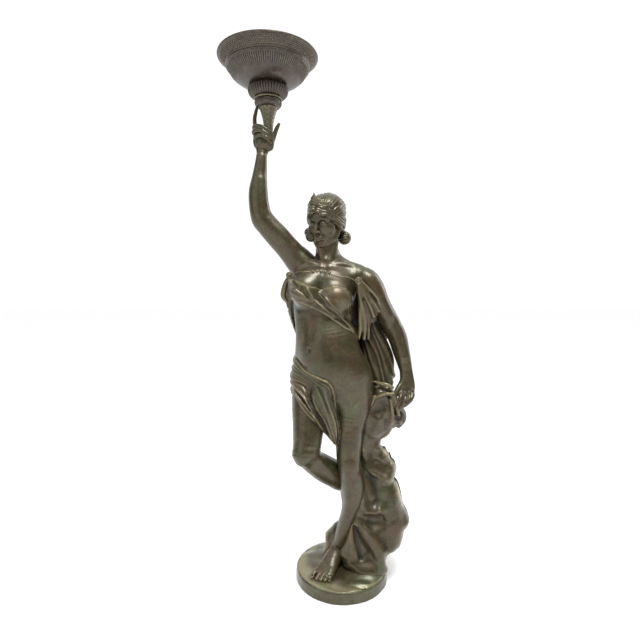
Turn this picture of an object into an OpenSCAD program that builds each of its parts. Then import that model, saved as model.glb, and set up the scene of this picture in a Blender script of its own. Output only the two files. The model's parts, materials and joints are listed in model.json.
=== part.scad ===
// Figural torchiere floor lamp: a draped bronze woman on a round plinth lifts a torch
// whose wide bowl throws the light upwards. Millimetres, +Z up, origin at the centre of
// the plinth's underside, the figure faces -Y.

/* [Plinth] */
// Radius of the round plinth
plinth_r = 179; // [170:1:190]
// Height of the plinth's upright band
plinth_h = 43; // [40:1:48]
// Wall of the plinth casting
plinth_wall = 9; // [8:0.5:10]

/* [Castings] */
// Wall of the hollow figure castings
skin = 5; // [4.5:0.5:7]
// Thickness of the cast drapery sheets
cloth = 9; // [8:0.5:10]

/* [Torch and bowl] */
// Distance of the torch axis to the figure's right of the plinth centre
torch_x = -280; // [-282:1:-278]
// Height of the bowl's rim
rim_z = 2000; // [1998:1:2004]
// Outer radius of the bowl's rim
rim_r = 187; // [180:1:192]
// Radius where the patterned band meets the fluted bowl
band_r = 154; // [150:1:156]
// Largest radius of the gadrooned knop
knop_r = 77; // [72:1:80]
// Number of gadroons round the knop
gadroons = 26; // [20:2:32]
// Wall of the bowl, band and knop
bowl_wall = 3; // [2.5:0.5:4]

/* [Lamp fittings] */
// Outer radius of the threaded lamp pipe
pipe_r = 5; // [5:0.1:6]
// Radius of the socket shell
socket_r = 20; // [18:0.5:22]
// Radius of the glass bulb
bulb_r = 21; // [20:0.5:22]

/* [Hidden] */
$fn = 72;
bronze = [0.29, 0.26, 0.18];
dark_bronze = [0.22, 0.19, 0.15];
pale_bronze = [0.42, 0.38, 0.27];
brass = [0.78, 0.62, 0.32];
steel = [0.62, 0.63, 0.65];
running = 0.3; // gap between pieces that move or are assembled by hand

// ---- lofting -------------------------------------------------------------------------

function unit(v) = v / norm(v);
function place(s) = [s[0], s[1], s[2]];
function near(list, i) = list[max(0, min(len(list) - 1, i))];
function spline(a, b, c, d, t) = 0.5 * (2 * b + (c - a) * t
    + (2 * a - 5 * b + 4 * c - d) * t * t + (3 * b - a - 3 * c + d) * t * t * t);
function refined(s, steps) = [for (i = [0 : len(s) - 2], j = [0 : steps - 1])
        spline(near(s, i - 1), s[i], s[i + 1], near(s, i + 2), j / steps), s[len(s) - 1]];

// A station is [x, y, z, half width, half depth, turn, level]. The width runs along +X turned
// clockwise by turn. A level of 1 keeps the ring horizontal, 0 squares it up to the path.
function heading(s, i) = let (run = place(near(s, i + 1)) - place(near(s, i - 1)))
    s[i][6] > 0.5 ? [0, 0, sign(run[2])] : unit(run);

// One ring of a loft, drawn in by inset, moved on along the path by ahead and pleated.
function ring(s, i, n, inset, ahead, folds, depth) = let (
        t = heading(s, i),
        lateral = [cos(s[i][5]), -sin(s[i][5]), 0],
        side = unit(lateral - t * (lateral * t)),
        front = cross(t, side))
    [for (k = [0 : n - 1]) let (pleat = 1 + depth * cos(folds * 360 * k / n + 9 * i))
        place(s[i]) + t * ahead
        + side * ((s[i][3] * pleat - inset) * cos(360 * k / n))
        + front * ((s[i][4] * pleat - inset) * sin(360 * k / n))];

function flat(lists) = [for (l = lists, v = l) v];
function band_faces(rings, n) = [for (j = [0 : rings - 2], k = [0 : n - 1], h = [0, 1]) let (
        a = j * n, b = (j + 1) * n, q = (k + 1) % n)
    h == 0 ? [a + k, b + k, b + q] : [a + k, b + q, a + q]];

// A solid along the stations, swollen by grow and lengthened by longer at its two ends.
module loft(stations, n = 20, steps = 2, grow = 0, longer = [0, 0], folds = 0, depth = 0) {
    s = refined(stations, steps);
    m = len(s);
    rings = [for (i = [0 : m - 1])
        ring(s, i, n, -grow, i == 0 ? -longer[0] : (i == m - 1 ? longer[1] : 0), folds, depth)];
    polyhedron(flat(rings), concat(band_faces(m, n),
        [[for (k = [n - 1 : -1 : 0]) (m - 1) * n + k], [for (k = [0 : n - 1]) k]]), convexity = 6);
}

// The hollow that a casting of the given wall leaves along the stations. Each end either
// breaks through (open) or keeps a wall.
module hollow(stations, wall = skin, n = 20, steps = 2, open = [true, true], folds = 0, depth = 0)
    loft(stations, n, steps, -wall, [open[0] ? 4 : -wall, open[1] ? 4 : -wall], folds, depth);

// Lofts that were cast together become one mesh.
module one_casting() { resize([0, 0, 0]) children(); }

// A tapering round limb through a list of [x, y, z, radius] joints.
module digit(joints) {
    for (i = [0 : len(joints) - 2]) hull() {
        translate(place(joints[i])) sphere(joints[i][3], $fn = 10);
        translate(place(joints[i + 1])) sphere(joints[i + 1][3], $fn = 10);
    }
}

// ---- the figure's stations -----------------------------------------------------------

trunk = [
    [-44, 0, 716, 128, 98, 25, 0], [-40, 4, 780, 156, 118, 25, 0], [-50, -2, 850, 144, 108, 25, 0],
    [-62, -12, 925, 127, 96, 22, 0], [-72, -10, 990, 112, 86, 16, 0], [-75, -2, 1060, 115, 86, 12, 0],
    [-70, 2, 1130, 126, 88, 10, 0], [-60, 8, 1190, 122, 74, 10, 0], [-54, 14, 1232, 92, 58, 10, 0],
    [-58, 16, 1266, 50, 48, 10, 0], [-60, 12, 1300, 42, 43, 14, 0]];
standing = [
    [36, 2, 780, 84, 92, 20, 0], [38, -8, 700, 80, 86, 10, 0], [26, -26, 615, 61, 68, 5, 0],
    [22, -50, 515, 48, 52, 0, 0], [26, -44, 455, 46, 50, 0, 0], [46, -30, 350, 44, 48, 0, 0],
    [34, -24, 285, 38, 42, 0, 0], [8, -20, 205, 34, 38, 0, 0], [-6, -8, 150, 35, 44, 20, 0],
    [-8, 4, 92, 34, 46, 36, 0]];
standing_foot = [
    [14, 48, 76, 20, 18, 36, 0], [-2, 26, 86, 33, 31, 36, 0], [-32, -22, 92, 34, 36, 36, 0],
    [-58, -64, 78, 38, 23, 36, 0], [-76, -94, 66, 41, 14, 36, 0], [-88, -112, 60, 34, 9, 36, 0]];
thigh = [
    [-112, 14, 780, 84, 88, 25, 0], [-124, -20, 690, 72, 80, 20, 0], [-130, -58, 610, 60, 68, 12, 0],
    [-134, -84, 545, 54, 60, 0, 0], [-134, -92, 500, 44, 46, 0, 0]];
shank = [
    [-150, -98, 506, 36, 38, 50, 0], [-108, -62, 478, 50, 50, 50, 0], [-58, -16, 448, 50, 50, 50, 0],
    [-8, 28, 420, 47, 48, 50, 0], [40, 60, 390, 40, 42, 50, 0], [78, 78, 360, 34, 37, 50, 0],
    [106, 90, 328, 33, 34, 50, 0]];
bent_foot = [
    [96, 74, 350, 22, 22, 50, 0], [114, 94, 306, 32, 34, 50, 0], [127, 110, 262, 36, 24, 50, 0],
    [135, 120, 222, 36, 15, 50, 0]];
lifted = [
    [-120, 24, 1200, 62, 58, 0, 0], [-172, 26, 1256, 54, 54, 0, 0], [-211, 18, 1294, 45, 47, 0, 0],
    [-253, 8, 1340, 42, 43, 0, 0], [-292, 2, 1384, 39, 41, 0, 0], [-318, -1, 1422, 36, 40, 0, 0],
    [-326, -2, 1464, 35, 39, 0, 0], [-325, -2, 1512, 35, 36, 0, 0], [-323, -2, 1552, 29, 31, 0, 0],
    [-319, -2, 1600, 25, 25, 0, 0], [-312, -2, 1644, 21, 20, 0, 0]];
hanging = [
    [52, 8, 1208, 36, 46, 0, 0], [90, 8, 1182, 50, 54, 0, 0], [116, 9, 1140, 46, 52, 0, 0],
    [136, 12, 1096, 43, 47, 0, 0], [164, 20, 1046, 40, 43, 0, 0], [194, 26, 998, 39, 40, 0, 0],
    [218, 26, 952, 38, 39, 0, 0], [234, 14, 900, 34, 36, 0, 0], [245, 0, 856, 30, 31, 0, 0],
    [250, -10, 818, 27, 24, 0, 0]];
skull = [
    [-60, 14, 1262, 47, 46, 14, 0], [-60, 8, 1300, 41, 42, 20, 0], [-62, 0, 1334, 56, 64, 30, 0],
    [-64, -2, 1372, 80, 84, 30, 0], [-63, 4, 1416, 89, 94, 30, 0], [-62, 8, 1456, 79, 85, 30, 0],
    [-62, 10, 1484, 52, 58, 30, 0], [-62, 10, 1498, 20, 24, 30, 0]];

// ---- base ----------------------------------------------------------------------------

bush_z = 21;
bush_r = 8;
bolt_ring_r = 120;
bolt_r = 5;
tie = [-12, -10, 0];
tie_r = 6;
lead_hole = [2, 26, 0];

module plinth() color(dark_bronze) difference() {
    rotate_extrude() polygon([[0, plinth_h - plinth_wall], [plinth_r - plinth_wall, plinth_h - plinth_wall],
        [plinth_r - plinth_wall, 0], [plinth_r, 0], [plinth_r, plinth_h - 3], [plinth_r - 3, plinth_h],
        [0, plinth_h]]);
    for (a = [45 : 90 : 315]) rotate(a) translate([bolt_ring_r, 0, plinth_h - plinth_wall - 1])
        cylinder(h = plinth_wall + 2, r = bolt_r + running, $fn = 32);
    translate([0, 0, plinth_h - plinth_wall - 1]) {
        translate(tie) cylinder(h = plinth_wall + 2, r = tie_r + running, $fn = 32);
        translate(lead_hole) cylinder(h = plinth_wall + 2, r = 9, $fn = 32);
    }
    translate([0, plinth_r - plinth_wall - 6, bush_z]) rotate([-90, 0, 0])
        cylinder(h = plinth_wall + 12, r = bush_r, $fn = 48);
}

ground = [
    [0, 0, plinth_h, 175, 175, 0, 1], [3, 3, 55, 169, 169, 0, 1], [20, 20, 70, 142, 142, 0, 1],
    [46, 44, 94, 108, 108, 0, 1], [72, 60, 124, 78, 78, 0, 1], [84, 68, 142, 44, 44, 0, 1]];
boss_r = 13;

module at_bolts() for (a = [45 : 90 : 315]) rotate(a) translate([bolt_ring_r, 0, 0]) children();

module ground_casting() color(bronze) one_casting() difference() {
    loft(ground, n = 24, folds = 7, depth = 0.03);
    difference() {
        hollow(ground, wall = 9, n = 24, open = [true, false], folds = 7, depth = 0.03);
        at_bolts() cylinder(h = 200, r = boss_r, $fn = 20);
        translate(tie) cylinder(h = 200, r = boss_r, $fn = 20);
    }
    at_bolts() cylinder(h = plinth_h + 14, r = bolt_r - 0.2, $fn = 24);
    translate(tie) cylinder(h = 200, r = tie_r + running, $fn = 24);
    translate(lead_hole) cylinder(h = 200, r = 9, $fn = 24);
}

// ---- figure --------------------------------------------------------------------------

module standing_leg() color(bronze) one_casting() difference() {
    union() {
        loft(standing, n = 16);
        loft(standing_foot, n = 12);
    }
    hollow(standing, n = 16, open = [true, false]);
    translate(tie + [0, 0, 40]) cylinder(h = 76, r = tie_r - 0.2, $fn = 24);
    translate(lead_hole + [0, 0, 40]) cylinder(h = 90, r = 7, $fn = 20);
}

module bent_limb(grow) {
    loft(thigh, n = 16, grow = grow);
    loft(shank, n = 14, grow = grow);
}

module bent_leg() color(bronze) one_casting() difference() {
    union() {
        bent_limb(0);
        loft(bent_foot, n = 12);
    }
    hollow(thigh, n = 16, open = [true, false]);
    hollow(shank, n = 14, open = [false, false]);
}

// Where the hollow limbs open into the trunk.
module limb_openings() {
    translate([-146, 26, 1228]) rotate([0, -42, 0]) cylinder(h = 90, r = 34, center = true, $fn = 24);
    translate([70, 8, 1180]) rotate([0, 70, 0]) cylinder(h = 80, r = 30, center = true, $fn = 24);
    translate([36, 0, 716]) cylinder(h = 30, r = 36, center = true, $fn = 24);
}

module breasts(swell) for (b = [[-136, -72, 1096, 20], [-22, -88, 1092, -8]])
    translate(place(b)) rotate([20, 0, b[3]]) scale([1, 0.72, 1]) sphere(50 + swell, $fn = 16);

module torso() color(bronze) one_casting() difference() {
    union() {
        loft(trunk, n = 20);
        breasts(0);
        translate([-70, 84, 786]) sphere(70, $fn = 16);
        translate([28, 66, 776]) sphere(72, $fn = 16);
    }
    hollow(trunk, n = 20, open = [false, false]);
    limb_openings();
    translate([-60, 13, 1284]) cylinder(h = 60, r = 22, center = true, $fn = 20);
}

module head() color(bronze) one_casting() difference() {
    union() {
        loft(skull, n = 20);
        translate([-98, -60, 1336]) scale([0.62, 0.66, 1]) sphere(40, $fn = 16);
        translate([-110, -86, 1352]) scale([0.5, 0.8, 1]) sphere(16, $fn = 10);
        translate([-90, -62, 1304]) sphere(18, $fn = 12);
        translate([14, 54, 1350]) scale([0.8, 1, 0.9]) sphere(34, $fn = 14);
        translate([-134, 40, 1344]) scale([0.8, 1, 1]) sphere(28, $fn = 12);
    }
    hollow(skull, n = 20, open = [true, false]);
}

module tiara() color(pale_bronze) one_casting() difference() {
    translate([-94, -58, 1450]) rotate([-24, 0, -30]) scale([1, 0.55, 1]) intersection() {
        cylinder(h = 48, r1 = 56, r2 = 44, center = true, $fn = 32);
        rotate([90, 0, 0]) cylinder(h = 200, r = 30, $fn = 6);
    }
    loft(skull, n = 20, grow = -2);
}

module raised_arm() color(bronze) one_casting() difference() {
    loft(lifted, n = 16);
    hollow(lifted, n = 16);
}

module torch_hand() color(bronze) one_casting() difference() {
    union() {
        loft([[-312, -2, 1642, 21, 20, 0, 0], [-309, 4, 1670, 27, 18, 0, 0],
            [-306, 12, 1698, 37, 16, 0, 0], [-304, 16, 1724, 38, 14, 0, 0],
            [-300, 16, 1740, 30, 10, 0, 0]], n = 16);
        digit([[-324, 8, 1738, 9], [-334, 2, 1774, 8], [-332, 2, 1812, 6]]);
        digit([[-318, 14, 1738, 10], [-324, -20, 1732, 9], [-296, -30, 1724, 8.5], [-264, -22, 1712, 8]]);
        digit([[-318, 12, 1718, 10], [-322, -20, 1712, 9], [-294, -29, 1706, 8.5], [-266, -22, 1694, 8]]);
        digit([[-316, 8, 1700, 9], [-316, -20, 1692, 8], [-292, -26, 1686, 7.5], [-272, -20, 1676, 7]]);
        digit([[-280, 6, 1676, 12], [-262, 8, 1716, 10], [-246, 2, 1754, 7]]);
    }
    translate([torch_x, 0, 1664]) cylinder(h = 200, r1 = 14, r2 = 24, $fn = 32);
    translate([-302, 0, 1620]) rotate([0, 22, 0]) cylinder(h = 70, r = 8, $fn = 18);
}

module lowered_arm() color(bronze) one_casting() difference() {
    loft(hanging, n = 16);
    hollow(hanging, n = 16, open = [true, false]);
}

module gathering_hand() color(bronze) one_casting() {
    loft([[250, -12, 816, 26, 22, 0, 0], [252, -16, 792, 28, 20, 0, 0], [250, -20, 766, 32, 20, 0, 0],
        [244, -24, 742, 34, 18, 0, 0], [238, -26, 728, 28, 12, 0, 0]], n = 14);
    digit([[262, -30, 746, 10], [258, -48, 724, 9], [240, -50, 704, 8]]);
    digit([[248, -32, 738, 10], [242, -52, 714, 9], [226, -52, 694, 8]]);
    digit([[234, -34, 732, 10], [226, -52, 708, 9], [212, -50, 690, 8]]);
    digit([[222, -30, 752, 10], [208, -46, 730, 9], [202, -52, 704, 8]]);
    digit([[264, -26, 756, 9], [268, -42, 734, 8], [256, -50, 714, 7]]);
}

// ---- drapery -------------------------------------------------------------------------

// A band of cloth across the breast, from the right shoulder down under the left breast.
module chest_drape() color(bronze) one_casting() difference() {
    intersection() {
        union() {
            loft(trunk, n = 20, grow = cloth, longer = [cloth, cloth]);
            breasts(cloth);
        }
        translate([-70, -80, 1068]) rotate([0, 30, 8]) cube([420, 260, 96], center = true);
    }
    loft(trunk, n = 20, grow = -1);
    breasts(-1);
    translate([20, -220, 980]) cube([220, 400, 400]);
}

panel = [
    [-104, -78, 872, 74, 22, 16, 0], [-80, -96, 800, 66, 26, 14, 0], [-62, -92, 720, 52, 32, 10, 0],
    [-48, -72, 630, 40, 34, 6, 0], [-34, -50, 550, 28, 30, 0, 0], [-26, -40, 492, 14, 20, 0, 0]];

// The wrap knotted round the hips, its clinging skirt over the standing thigh and the
// gathered end that hangs between the knees.
module hip_drape() color(bronze) one_casting() difference() {
    union() {
        intersection() {
            loft(trunk, n = 20, grow = cloth, longer = [cloth, cloth]);
            translate([-60, 0, 800]) rotate([0, 24, 12]) cube([460, 420, 84], center = true);
        }
        loft(panel, n = 24, folds = 6, depth = 0.08);
        intersection() {
            loft(standing, n = 16, grow = cloth, longer = [cloth, 0]);
            translate([-70, -220, 500]) rotate([0, 10, 0]) cube([240, 420, 260]);
        }
    }
    loft(trunk, n = 20, grow = -1);
    loft(standing, n = 16, grow = -1);
    bent_limb(-1);
}

cape = [
    [-66, 66, 1180, 146, 20, 6, 1], [-58, 84, 1120, 166, 26, 6, 1], [-42, 92, 1056, 170, 28, 8, 1],
    [-18, 94, 990, 172, 28, 10, 1], [14, 92, 924, 178, 30, 10, 1], [48, 86, 860, 172, 32, 5, 1],
    [92, 70, 796, 142, 34, 0, 1], [134, 46, 742, 110, 34, 0, 1]];
train = [
    [142, 42, 746, 100, 34, 0, 1], [154, 38, 690, 92, 42, 0, 1], [158, 36, 620, 92, 48, 0, 1],
    [126, 40, 548, 66, 52, 0, 1], [118, 44, 490, 62, 56, 0, 1], [144, 44, 420, 76, 64, 0, 1],
    [150, 42, 345, 80, 70, 0, 1], [164, 38, 280, 86, 80, 0, 1], [178, 34, 215, 98, 88, 0, 1],
    [150, 34, 150, 96, 92, 0, 1], [124, 30, 104, 92, 94, 0, 1], [92, 26, 62, 88, 92, 0, 1]];

module mantle_upper() color(bronze) one_casting() difference() {
    loft(cape, n = 30, folds = 11, depth = 0.05);
    hollow(cape, wall = cloth, n = 30, open = [false, false]);
    loft(trunk, n = 20, grow = -1);
    loft(hanging, n = 16, grow = -1);
}

module mantle_lower() color(bronze) one_casting() difference() {
    loft(train, n = 24, folds = 9, depth = 0.06);
    hollow(train, wall = cloth, n = 24, open = [false, true]);
    loft(standing, n = 16, grow = -1);
    bent_limb(-1);
    loft(bent_foot, n = 12, grow = -1);
    loft(standing_foot, n = 12, grow = -1);
}

// A thin cord from clasp to clasp across the upper chest.
cord_route = [[-206, -42, 1156], [-180, -74, 1178], [-140, -88, 1192], [-90, -88, 1198],
    [-40, -86, 1192], [10, -78, 1182], [52, -62, 1170]];

module breast_cord() color(pale_bronze)
    loft([for (p = cord_route) concat(p, [2.5, 2.5, 90, 0])], n = 8);

module brooch() color(pale_bronze) one_casting() for (i = [-1 : 1])
    translate([-88 + 15 * i, -91 + 1.5 * abs(i), 1198 - 2 * abs(i)]) sphere(i == 0 ? 10 : 8, $fn = 12);

module shoulder_clasps() color(pale_bronze) {
    for (p = [[-208, -40, 1156], [54, -62, 1170]]) translate(p) rotate([78, 0, p[0] < 0 ? -30 : 12]) {
        cylinder(h = 6, r = 12, center = true, $fn = 32);
        translate([0, 0, 3]) sphere(6, $fn = 24);
    }
}

// ---- torch and bowl ------------------------------------------------------------------

handle_z = 1690;
cup_z = 1815;
knop_z = 1842;
bowl_z = 1902;
band_z = rim_z - 46;
bowl_r = band_r - 4;

module on_torch(z) translate([torch_x, 0, z]) children();

module torch_handle() color(bronze) on_torch(0) rotate_extrude() polygon([
    [pipe_r + running, handle_z], [10, handle_z], [14, handle_z + 4], [15, 1704], [16, 1740],
    [20, 1770], [27, 1796], [36, cup_z], [pipe_r + running, cup_z]]);

module leaf_cup() color(bronze) on_torch(0) difference() {
    rotate_extrude() polygon([[pipe_r + running, cup_z], [40, cup_z], [46, cup_z + 4],
        [51, cup_z + 12], [52, cup_z + 20], [48, knop_z], [pipe_r + running, knop_z]]);
    for (a = [0 : 45 : 315]) rotate(a + 22.5) translate([54, 0, cup_z + 2])
        rotate([0, 90, 0]) cylinder(h = 20, r = 6, center = true, $fn = 32);
}

module knop_ring() color(pale_bronze) on_torch(knop_z) rotate_extrude() polygon([
    [pipe_r + running, 0], [50, 0], [53, 2], [53, 6], [50, 8], [pipe_r + running, 8]]);

module knop() color(dark_bronze) on_torch(knop_z + 8) difference() {
    union() {
        rotate_extrude() polygon([[0, 0], [54, 0], [66, 10], [knop_r - 5, 22], [knop_r - 6, 36],
            [64, 47], [50, 52], [0, 52]]);
        for (a = [0 : 360 / gadroons : 359]) rotate(a) translate([knop_r - 13, 0, 27])
            scale([1, 0.62, 1.2]) sphere(12, $fn = 24);
    }
    translate([0, 0, bowl_wall]) rotate_extrude() polygon([[0, 0], [50, 0], [64, 12], [knop_r - 13, 22],
        [knop_r - 14, 34], [60, 43], [48, 46], [0, 46]]);
    translate([0, 0, -1]) cylinder(h = 60, r = pipe_r + running, $fn = 32);
}

module lower_bowl() color(dark_bronze) on_torch(bowl_z) rotate_extrude() polygon([
    [pipe_r + running, 0], [60, 0], [86, 6], [112, 16], [134, 30], [bowl_r, 48], [bowl_r, 52],
    [bowl_r - 5, 52], [bowl_r - 5, 49], [131, 34], [110, 20], [85, 10], [60, 4], [pipe_r + running, 4]]);

module rim_band() color(bronze) on_torch(0) rotate_extrude() polygon([
    [bowl_r + 0.2, band_z - 3], [band_r + 2, band_z - 3], [band_r + 5, band_z + 2], [172, rim_z - 28],
    [181, rim_z - 10], [rim_r, rim_z - 6], [rim_r, rim_z - 2], [rim_r - 3, rim_z], [rim_r - 8, rim_z - 3],
    [176, rim_z - 12], [168, rim_z - 28], [band_r, band_z + 3.5], [bowl_r - 5, band_z + 3.5],
    [bowl_r - 5, band_z], [bowl_r + 0.2, band_z]]);

// ---- lamp fittings -------------------------------------------------------------------

seat_z = bowl_z + 4;
cap_z = seat_z + 8;
shell_z = cap_z + 13;
shell_top = shell_z + 34;
key_up = 7;
key_r = 2;

pipe_z = handle_z - 10;

module lamp_pipe() color(brass) on_torch(pipe_z) difference() {
    cylinder(h = cap_z + 5 - pipe_z, r = pipe_r, $fn = 48);
    translate([0, 0, -1]) cylinder(h = 300, r = pipe_r - 1.5, $fn = 48);
}

module washer(outer, inner, height) difference() {
    cylinder(h = height, r = outer, $fn = 48);
    translate([0, 0, -1]) cylinder(h = height + 2, r = inner, $fn = 48);
}

module hex_nut(across, bore, height) difference() {
    cylinder(h = height, r = across / sqrt(3), $fn = 6);
    translate([0, 0, -1]) cylinder(h = height + 2, r = bore, $fn = 48);
}

module handle_nut() color(brass) on_torch(handle_z - 6) hex_nut(14, pipe_r, 6);

module bowl_washer() color(steel) on_torch(seat_z) washer(18, pipe_r + 0.1, 2);

module bowl_nut() color(brass) on_torch(seat_z + 2) hex_nut(16, pipe_r, 5);

module socket_cap() color(brass) on_torch(cap_z) difference() {
    rotate_extrude() polygon([[0, 0], [8, 0], [8, 3], [14, 5], [socket_r, 10], [socket_r, 13],
        [socket_r - 1, 13], [socket_r - 1, 10.5], [13.5, 6], [0, 6]]);
    translate([0, 0, -1]) cylinder(h = 20, r = pipe_r, $fn = 48);
}

module socket_shell() color(brass) on_torch(shell_z) difference() {
    union() {
        difference() {
            cylinder(h = shell_top - shell_z, r = socket_r);
            translate([0, 0, -1]) cylinder(h = 60, r = socket_r - 1);
        }
        translate([0, 0, shell_top - shell_z - 4]) washer(socket_r + 1, socket_r - 1, 4);
    }
    translate([0, -socket_r, key_up]) rotate([90, 0, 0])
        cylinder(h = 8, r = key_r + 0.08, center = true, $fn = 32);
}

module socket_liner() color([0.72, 0.6, 0.42]) on_torch(shell_z + 0.5) difference() {
    washer(socket_r - 1.2, socket_r - 2.2, shell_top - shell_z - 1);
    translate([0, -socket_r, key_up - 0.5]) rotate([90, 0, 0])
        cylinder(h = 8, r = 3, center = true, $fn = 32);
}

module socket_body() color([0.92, 0.9, 0.85]) on_torch(shell_z + 2) difference() {
    cylinder(h = 13, r = socket_r - 3);
    translate([0, 0, 8]) cylinder(h = 8, r = 14.6);
    translate([0, -12, key_up - 2]) rotate([90, 0, 0])
        cylinder(h = 14, r = key_r + 0.4, center = true, $fn = 32);
    translate([0, 0, -1]) cylinder(h = 10, r = 3, $fn = 32);
}

module screw_shell() color(brass) on_torch(shell_z + 10) difference() {
    cylinder(h = 22, r = 14.4);
    translate([0, 0, 1]) cylinder(h = 30, r = 13.7);
    translate([0, 0, -1]) cylinder(h = 4, r = 7, $fn = 32);
}

module centre_contact() color(brass) on_torch(shell_z + 10.2) cylinder(h = 2.6, r = 5, $fn = 32);

module key_shaft() color(brass) on_torch(shell_z + key_up) translate([0, -9.5, 0]) rotate([90, 0, 0])
    cylinder(h = 22.5, r = key_r, $fn = 32);

module switch_key() color(dark_bronze) on_torch(shell_z + key_up) translate([0, -32, 0]) rotate([90, 0, 0]) {
    cylinder(h = 6, r = 5, $fn = 32);
    translate([-9, -2, 3]) cube([18, 4, 12]);
}

bulb_z = shell_z + 13;

module bulb_cap() color([0.8, 0.8, 0.78]) on_torch(bulb_z) rotate_extrude() polygon([
    [5, 2], [9, 3], [13.2, 6], [13.2, 18], [12.4, 18], [12.4, 6.5], [8.6, 4], [5, 3]]);

module bulb_contact() color(brass) on_torch(bulb_z) cylinder(h = 3, r = 4.8, $fn = 32);

bulb_centre = rim_z - bulb_r - 2;

module bulb_glass() color([0.97, 0.96, 0.92]) on_torch(0) rotate_extrude() difference() {
    union() {
        translate([0, bulb_centre]) circle(bulb_r, $fn = 64);
        polygon([[0, bulb_z + 12], [12.3, bulb_z + 12], [12.3, bulb_z + 18.5], [14, bulb_z + 22],
            [0, bulb_centre]]);
    }
    translate([0, bulb_centre]) circle(bulb_r - 1, $fn = 64);
    polygon([[0, bulb_z + 8], [11.3, bulb_z + 8], [11.3, bulb_z + 18.9], [13, bulb_z + 22.6],
        [0, bulb_centre]]);
    translate([-60, bulb_z - 100]) square([60, 400]);
}

module bulb_stem() color([0.9, 0.9, 0.9]) on_torch(bulb_z + 7)
    cylinder(h = bulb_centre - bulb_z - 12, r1 = 7, r2 = 2.5);

module bulb_filament() color(steel) on_torch(bulb_centre - 5) union() {
    for (x = [-6, 6]) translate([x, 0, 0]) cylinder(h = 10, r = 0.5, $fn = 16);
    translate([-6, 0, 10]) rotate([0, 90, 0]) cylinder(h = 12, r = 0.6, $fn = 16);
    translate([-6.5, 0, 0]) rotate([0, 90, 0]) cylinder(h = 13, r = 0.6, $fn = 16);
}

// ---- structure and wiring inside -----------------------------------------------------

module tie_rod() color(steel) translate(tie + [0, 0, 16]) cylinder(h = 98, r = tie_r, $fn = 48);

module tie_rod_washer() color(steel) translate(tie + [0, 0, plinth_h - plinth_wall - 3])
    washer(15, tie_r + running, 3);

module tie_rod_nut() color(steel) translate(tie + [0, 0, plinth_h - plinth_wall - 13])
    hex_nut(19, tie_r, 10);

module plinth_bolts() color(steel) at_bolts() translate([0, 0, plinth_h - plinth_wall - 9]) {
    cylinder(h = 7, r = 9, $fn = 6);
    cylinder(h = 30, r = bolt_r, $fn = 40);
}

module plinth_washers() color(steel) at_bolts() translate([0, 0, plinth_h - plinth_wall - 2])
    washer(11, bolt_r + running, 2);

module cable_bush() color("black") translate([0, plinth_r - plinth_wall - 2.5, bush_z])
    rotate([-90, 0, 0]) difference() {
        union() {
            cylinder(h = plinth_wall + 2.5, r = bush_r - 0.1, $fn = 48);
            cylinder(h = 2.5, r = bush_r + 3, $fn = 48);
        }
        translate([0, 0, -1]) cylinder(h = 40, r = 3.5, $fn = 40);
    }

// The supply lead's route through the hollow castings, from the plinth to the lamp pipe.
lead_route = [
    [0, 168, bush_z], [0, 120, bush_z], [0, 70, 22], [0, 36, 26], [2, 26, 44], [2, 26, 80],
    [1, 24, 120], [2, 4, 180], [22, -18, 260], [42, -28, 350], [32, -38, 440], [24, -46, 520],
    [28, -24, 620], [36, -4, 710], [10, 0, 790], [-30, 0, 870], [-62, -6, 970], [-74, 0, 1070],
    [-90, 12, 1150], [-124, 22, 1200], [-172, 24, 1254], [-211, 18, 1294], [-253, 8, 1340],
    [-292, 2, 1384], [-318, -1, 1430], [-325, -2, 1500], [-320, -2, 1580], [-313, -2, 1612],
    [-303, -1, 1632], [-292, 0, 1651], [-282, 0, 1672], [torch_x, 0, 1688], [torch_x, 0, 1720],
    [torch_x, 0, 1920]];

module supply_lead() color("black")
    loft([for (p = lead_route) concat(p, [3, 3, 0, 0])], n = 8, steps = 1);

plinth();
ground_casting();
standing_leg();
bent_leg();
torso();
head();
tiara();
raised_arm();
torch_hand();
lowered_arm();
gathering_hand();
chest_drape();
breast_cord();
brooch();
shoulder_clasps();
hip_drape();
mantle_upper();
mantle_lower();
torch_handle();
leaf_cup();
knop_ring();
knop();
lower_bowl();
rim_band();
lamp_pipe();
handle_nut();
bowl_washer();
bowl_nut();
socket_cap();
socket_shell();
socket_liner();
socket_body();
screw_shell();
centre_contact();
key_shaft();
switch_key();
bulb_cap();
bulb_contact();
bulb_glass();
bulb_stem();
bulb_filament();
tie_rod();
tie_rod_washer();
tie_rod_nut();
plinth_bolts();
plinth_washers();
cable_bush();
supply_lead();
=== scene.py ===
import json
import math
import bpy
import numpy as np
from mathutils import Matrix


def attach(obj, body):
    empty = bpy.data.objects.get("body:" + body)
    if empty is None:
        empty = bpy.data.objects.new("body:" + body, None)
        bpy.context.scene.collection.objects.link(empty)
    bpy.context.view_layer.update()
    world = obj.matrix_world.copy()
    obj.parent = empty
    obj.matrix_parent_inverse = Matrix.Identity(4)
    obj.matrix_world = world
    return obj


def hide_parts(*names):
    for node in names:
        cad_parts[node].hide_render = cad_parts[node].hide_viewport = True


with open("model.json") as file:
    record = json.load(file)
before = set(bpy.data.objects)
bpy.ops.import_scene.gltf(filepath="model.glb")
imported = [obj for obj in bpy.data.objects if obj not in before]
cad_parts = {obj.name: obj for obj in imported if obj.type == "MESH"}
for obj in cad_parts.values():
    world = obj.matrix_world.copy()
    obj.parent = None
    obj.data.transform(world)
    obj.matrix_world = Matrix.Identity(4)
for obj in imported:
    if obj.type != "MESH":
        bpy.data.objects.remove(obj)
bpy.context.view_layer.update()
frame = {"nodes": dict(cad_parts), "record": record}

import openvdb
from mathutils import Vector

sculpt = {"step": 0.0028,
          "farAway": 0.04}     # metres: size of a sculpting cell, and the reach of a distance


# Sculpting in a block of distances: everything is below zero inside the bronze

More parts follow.
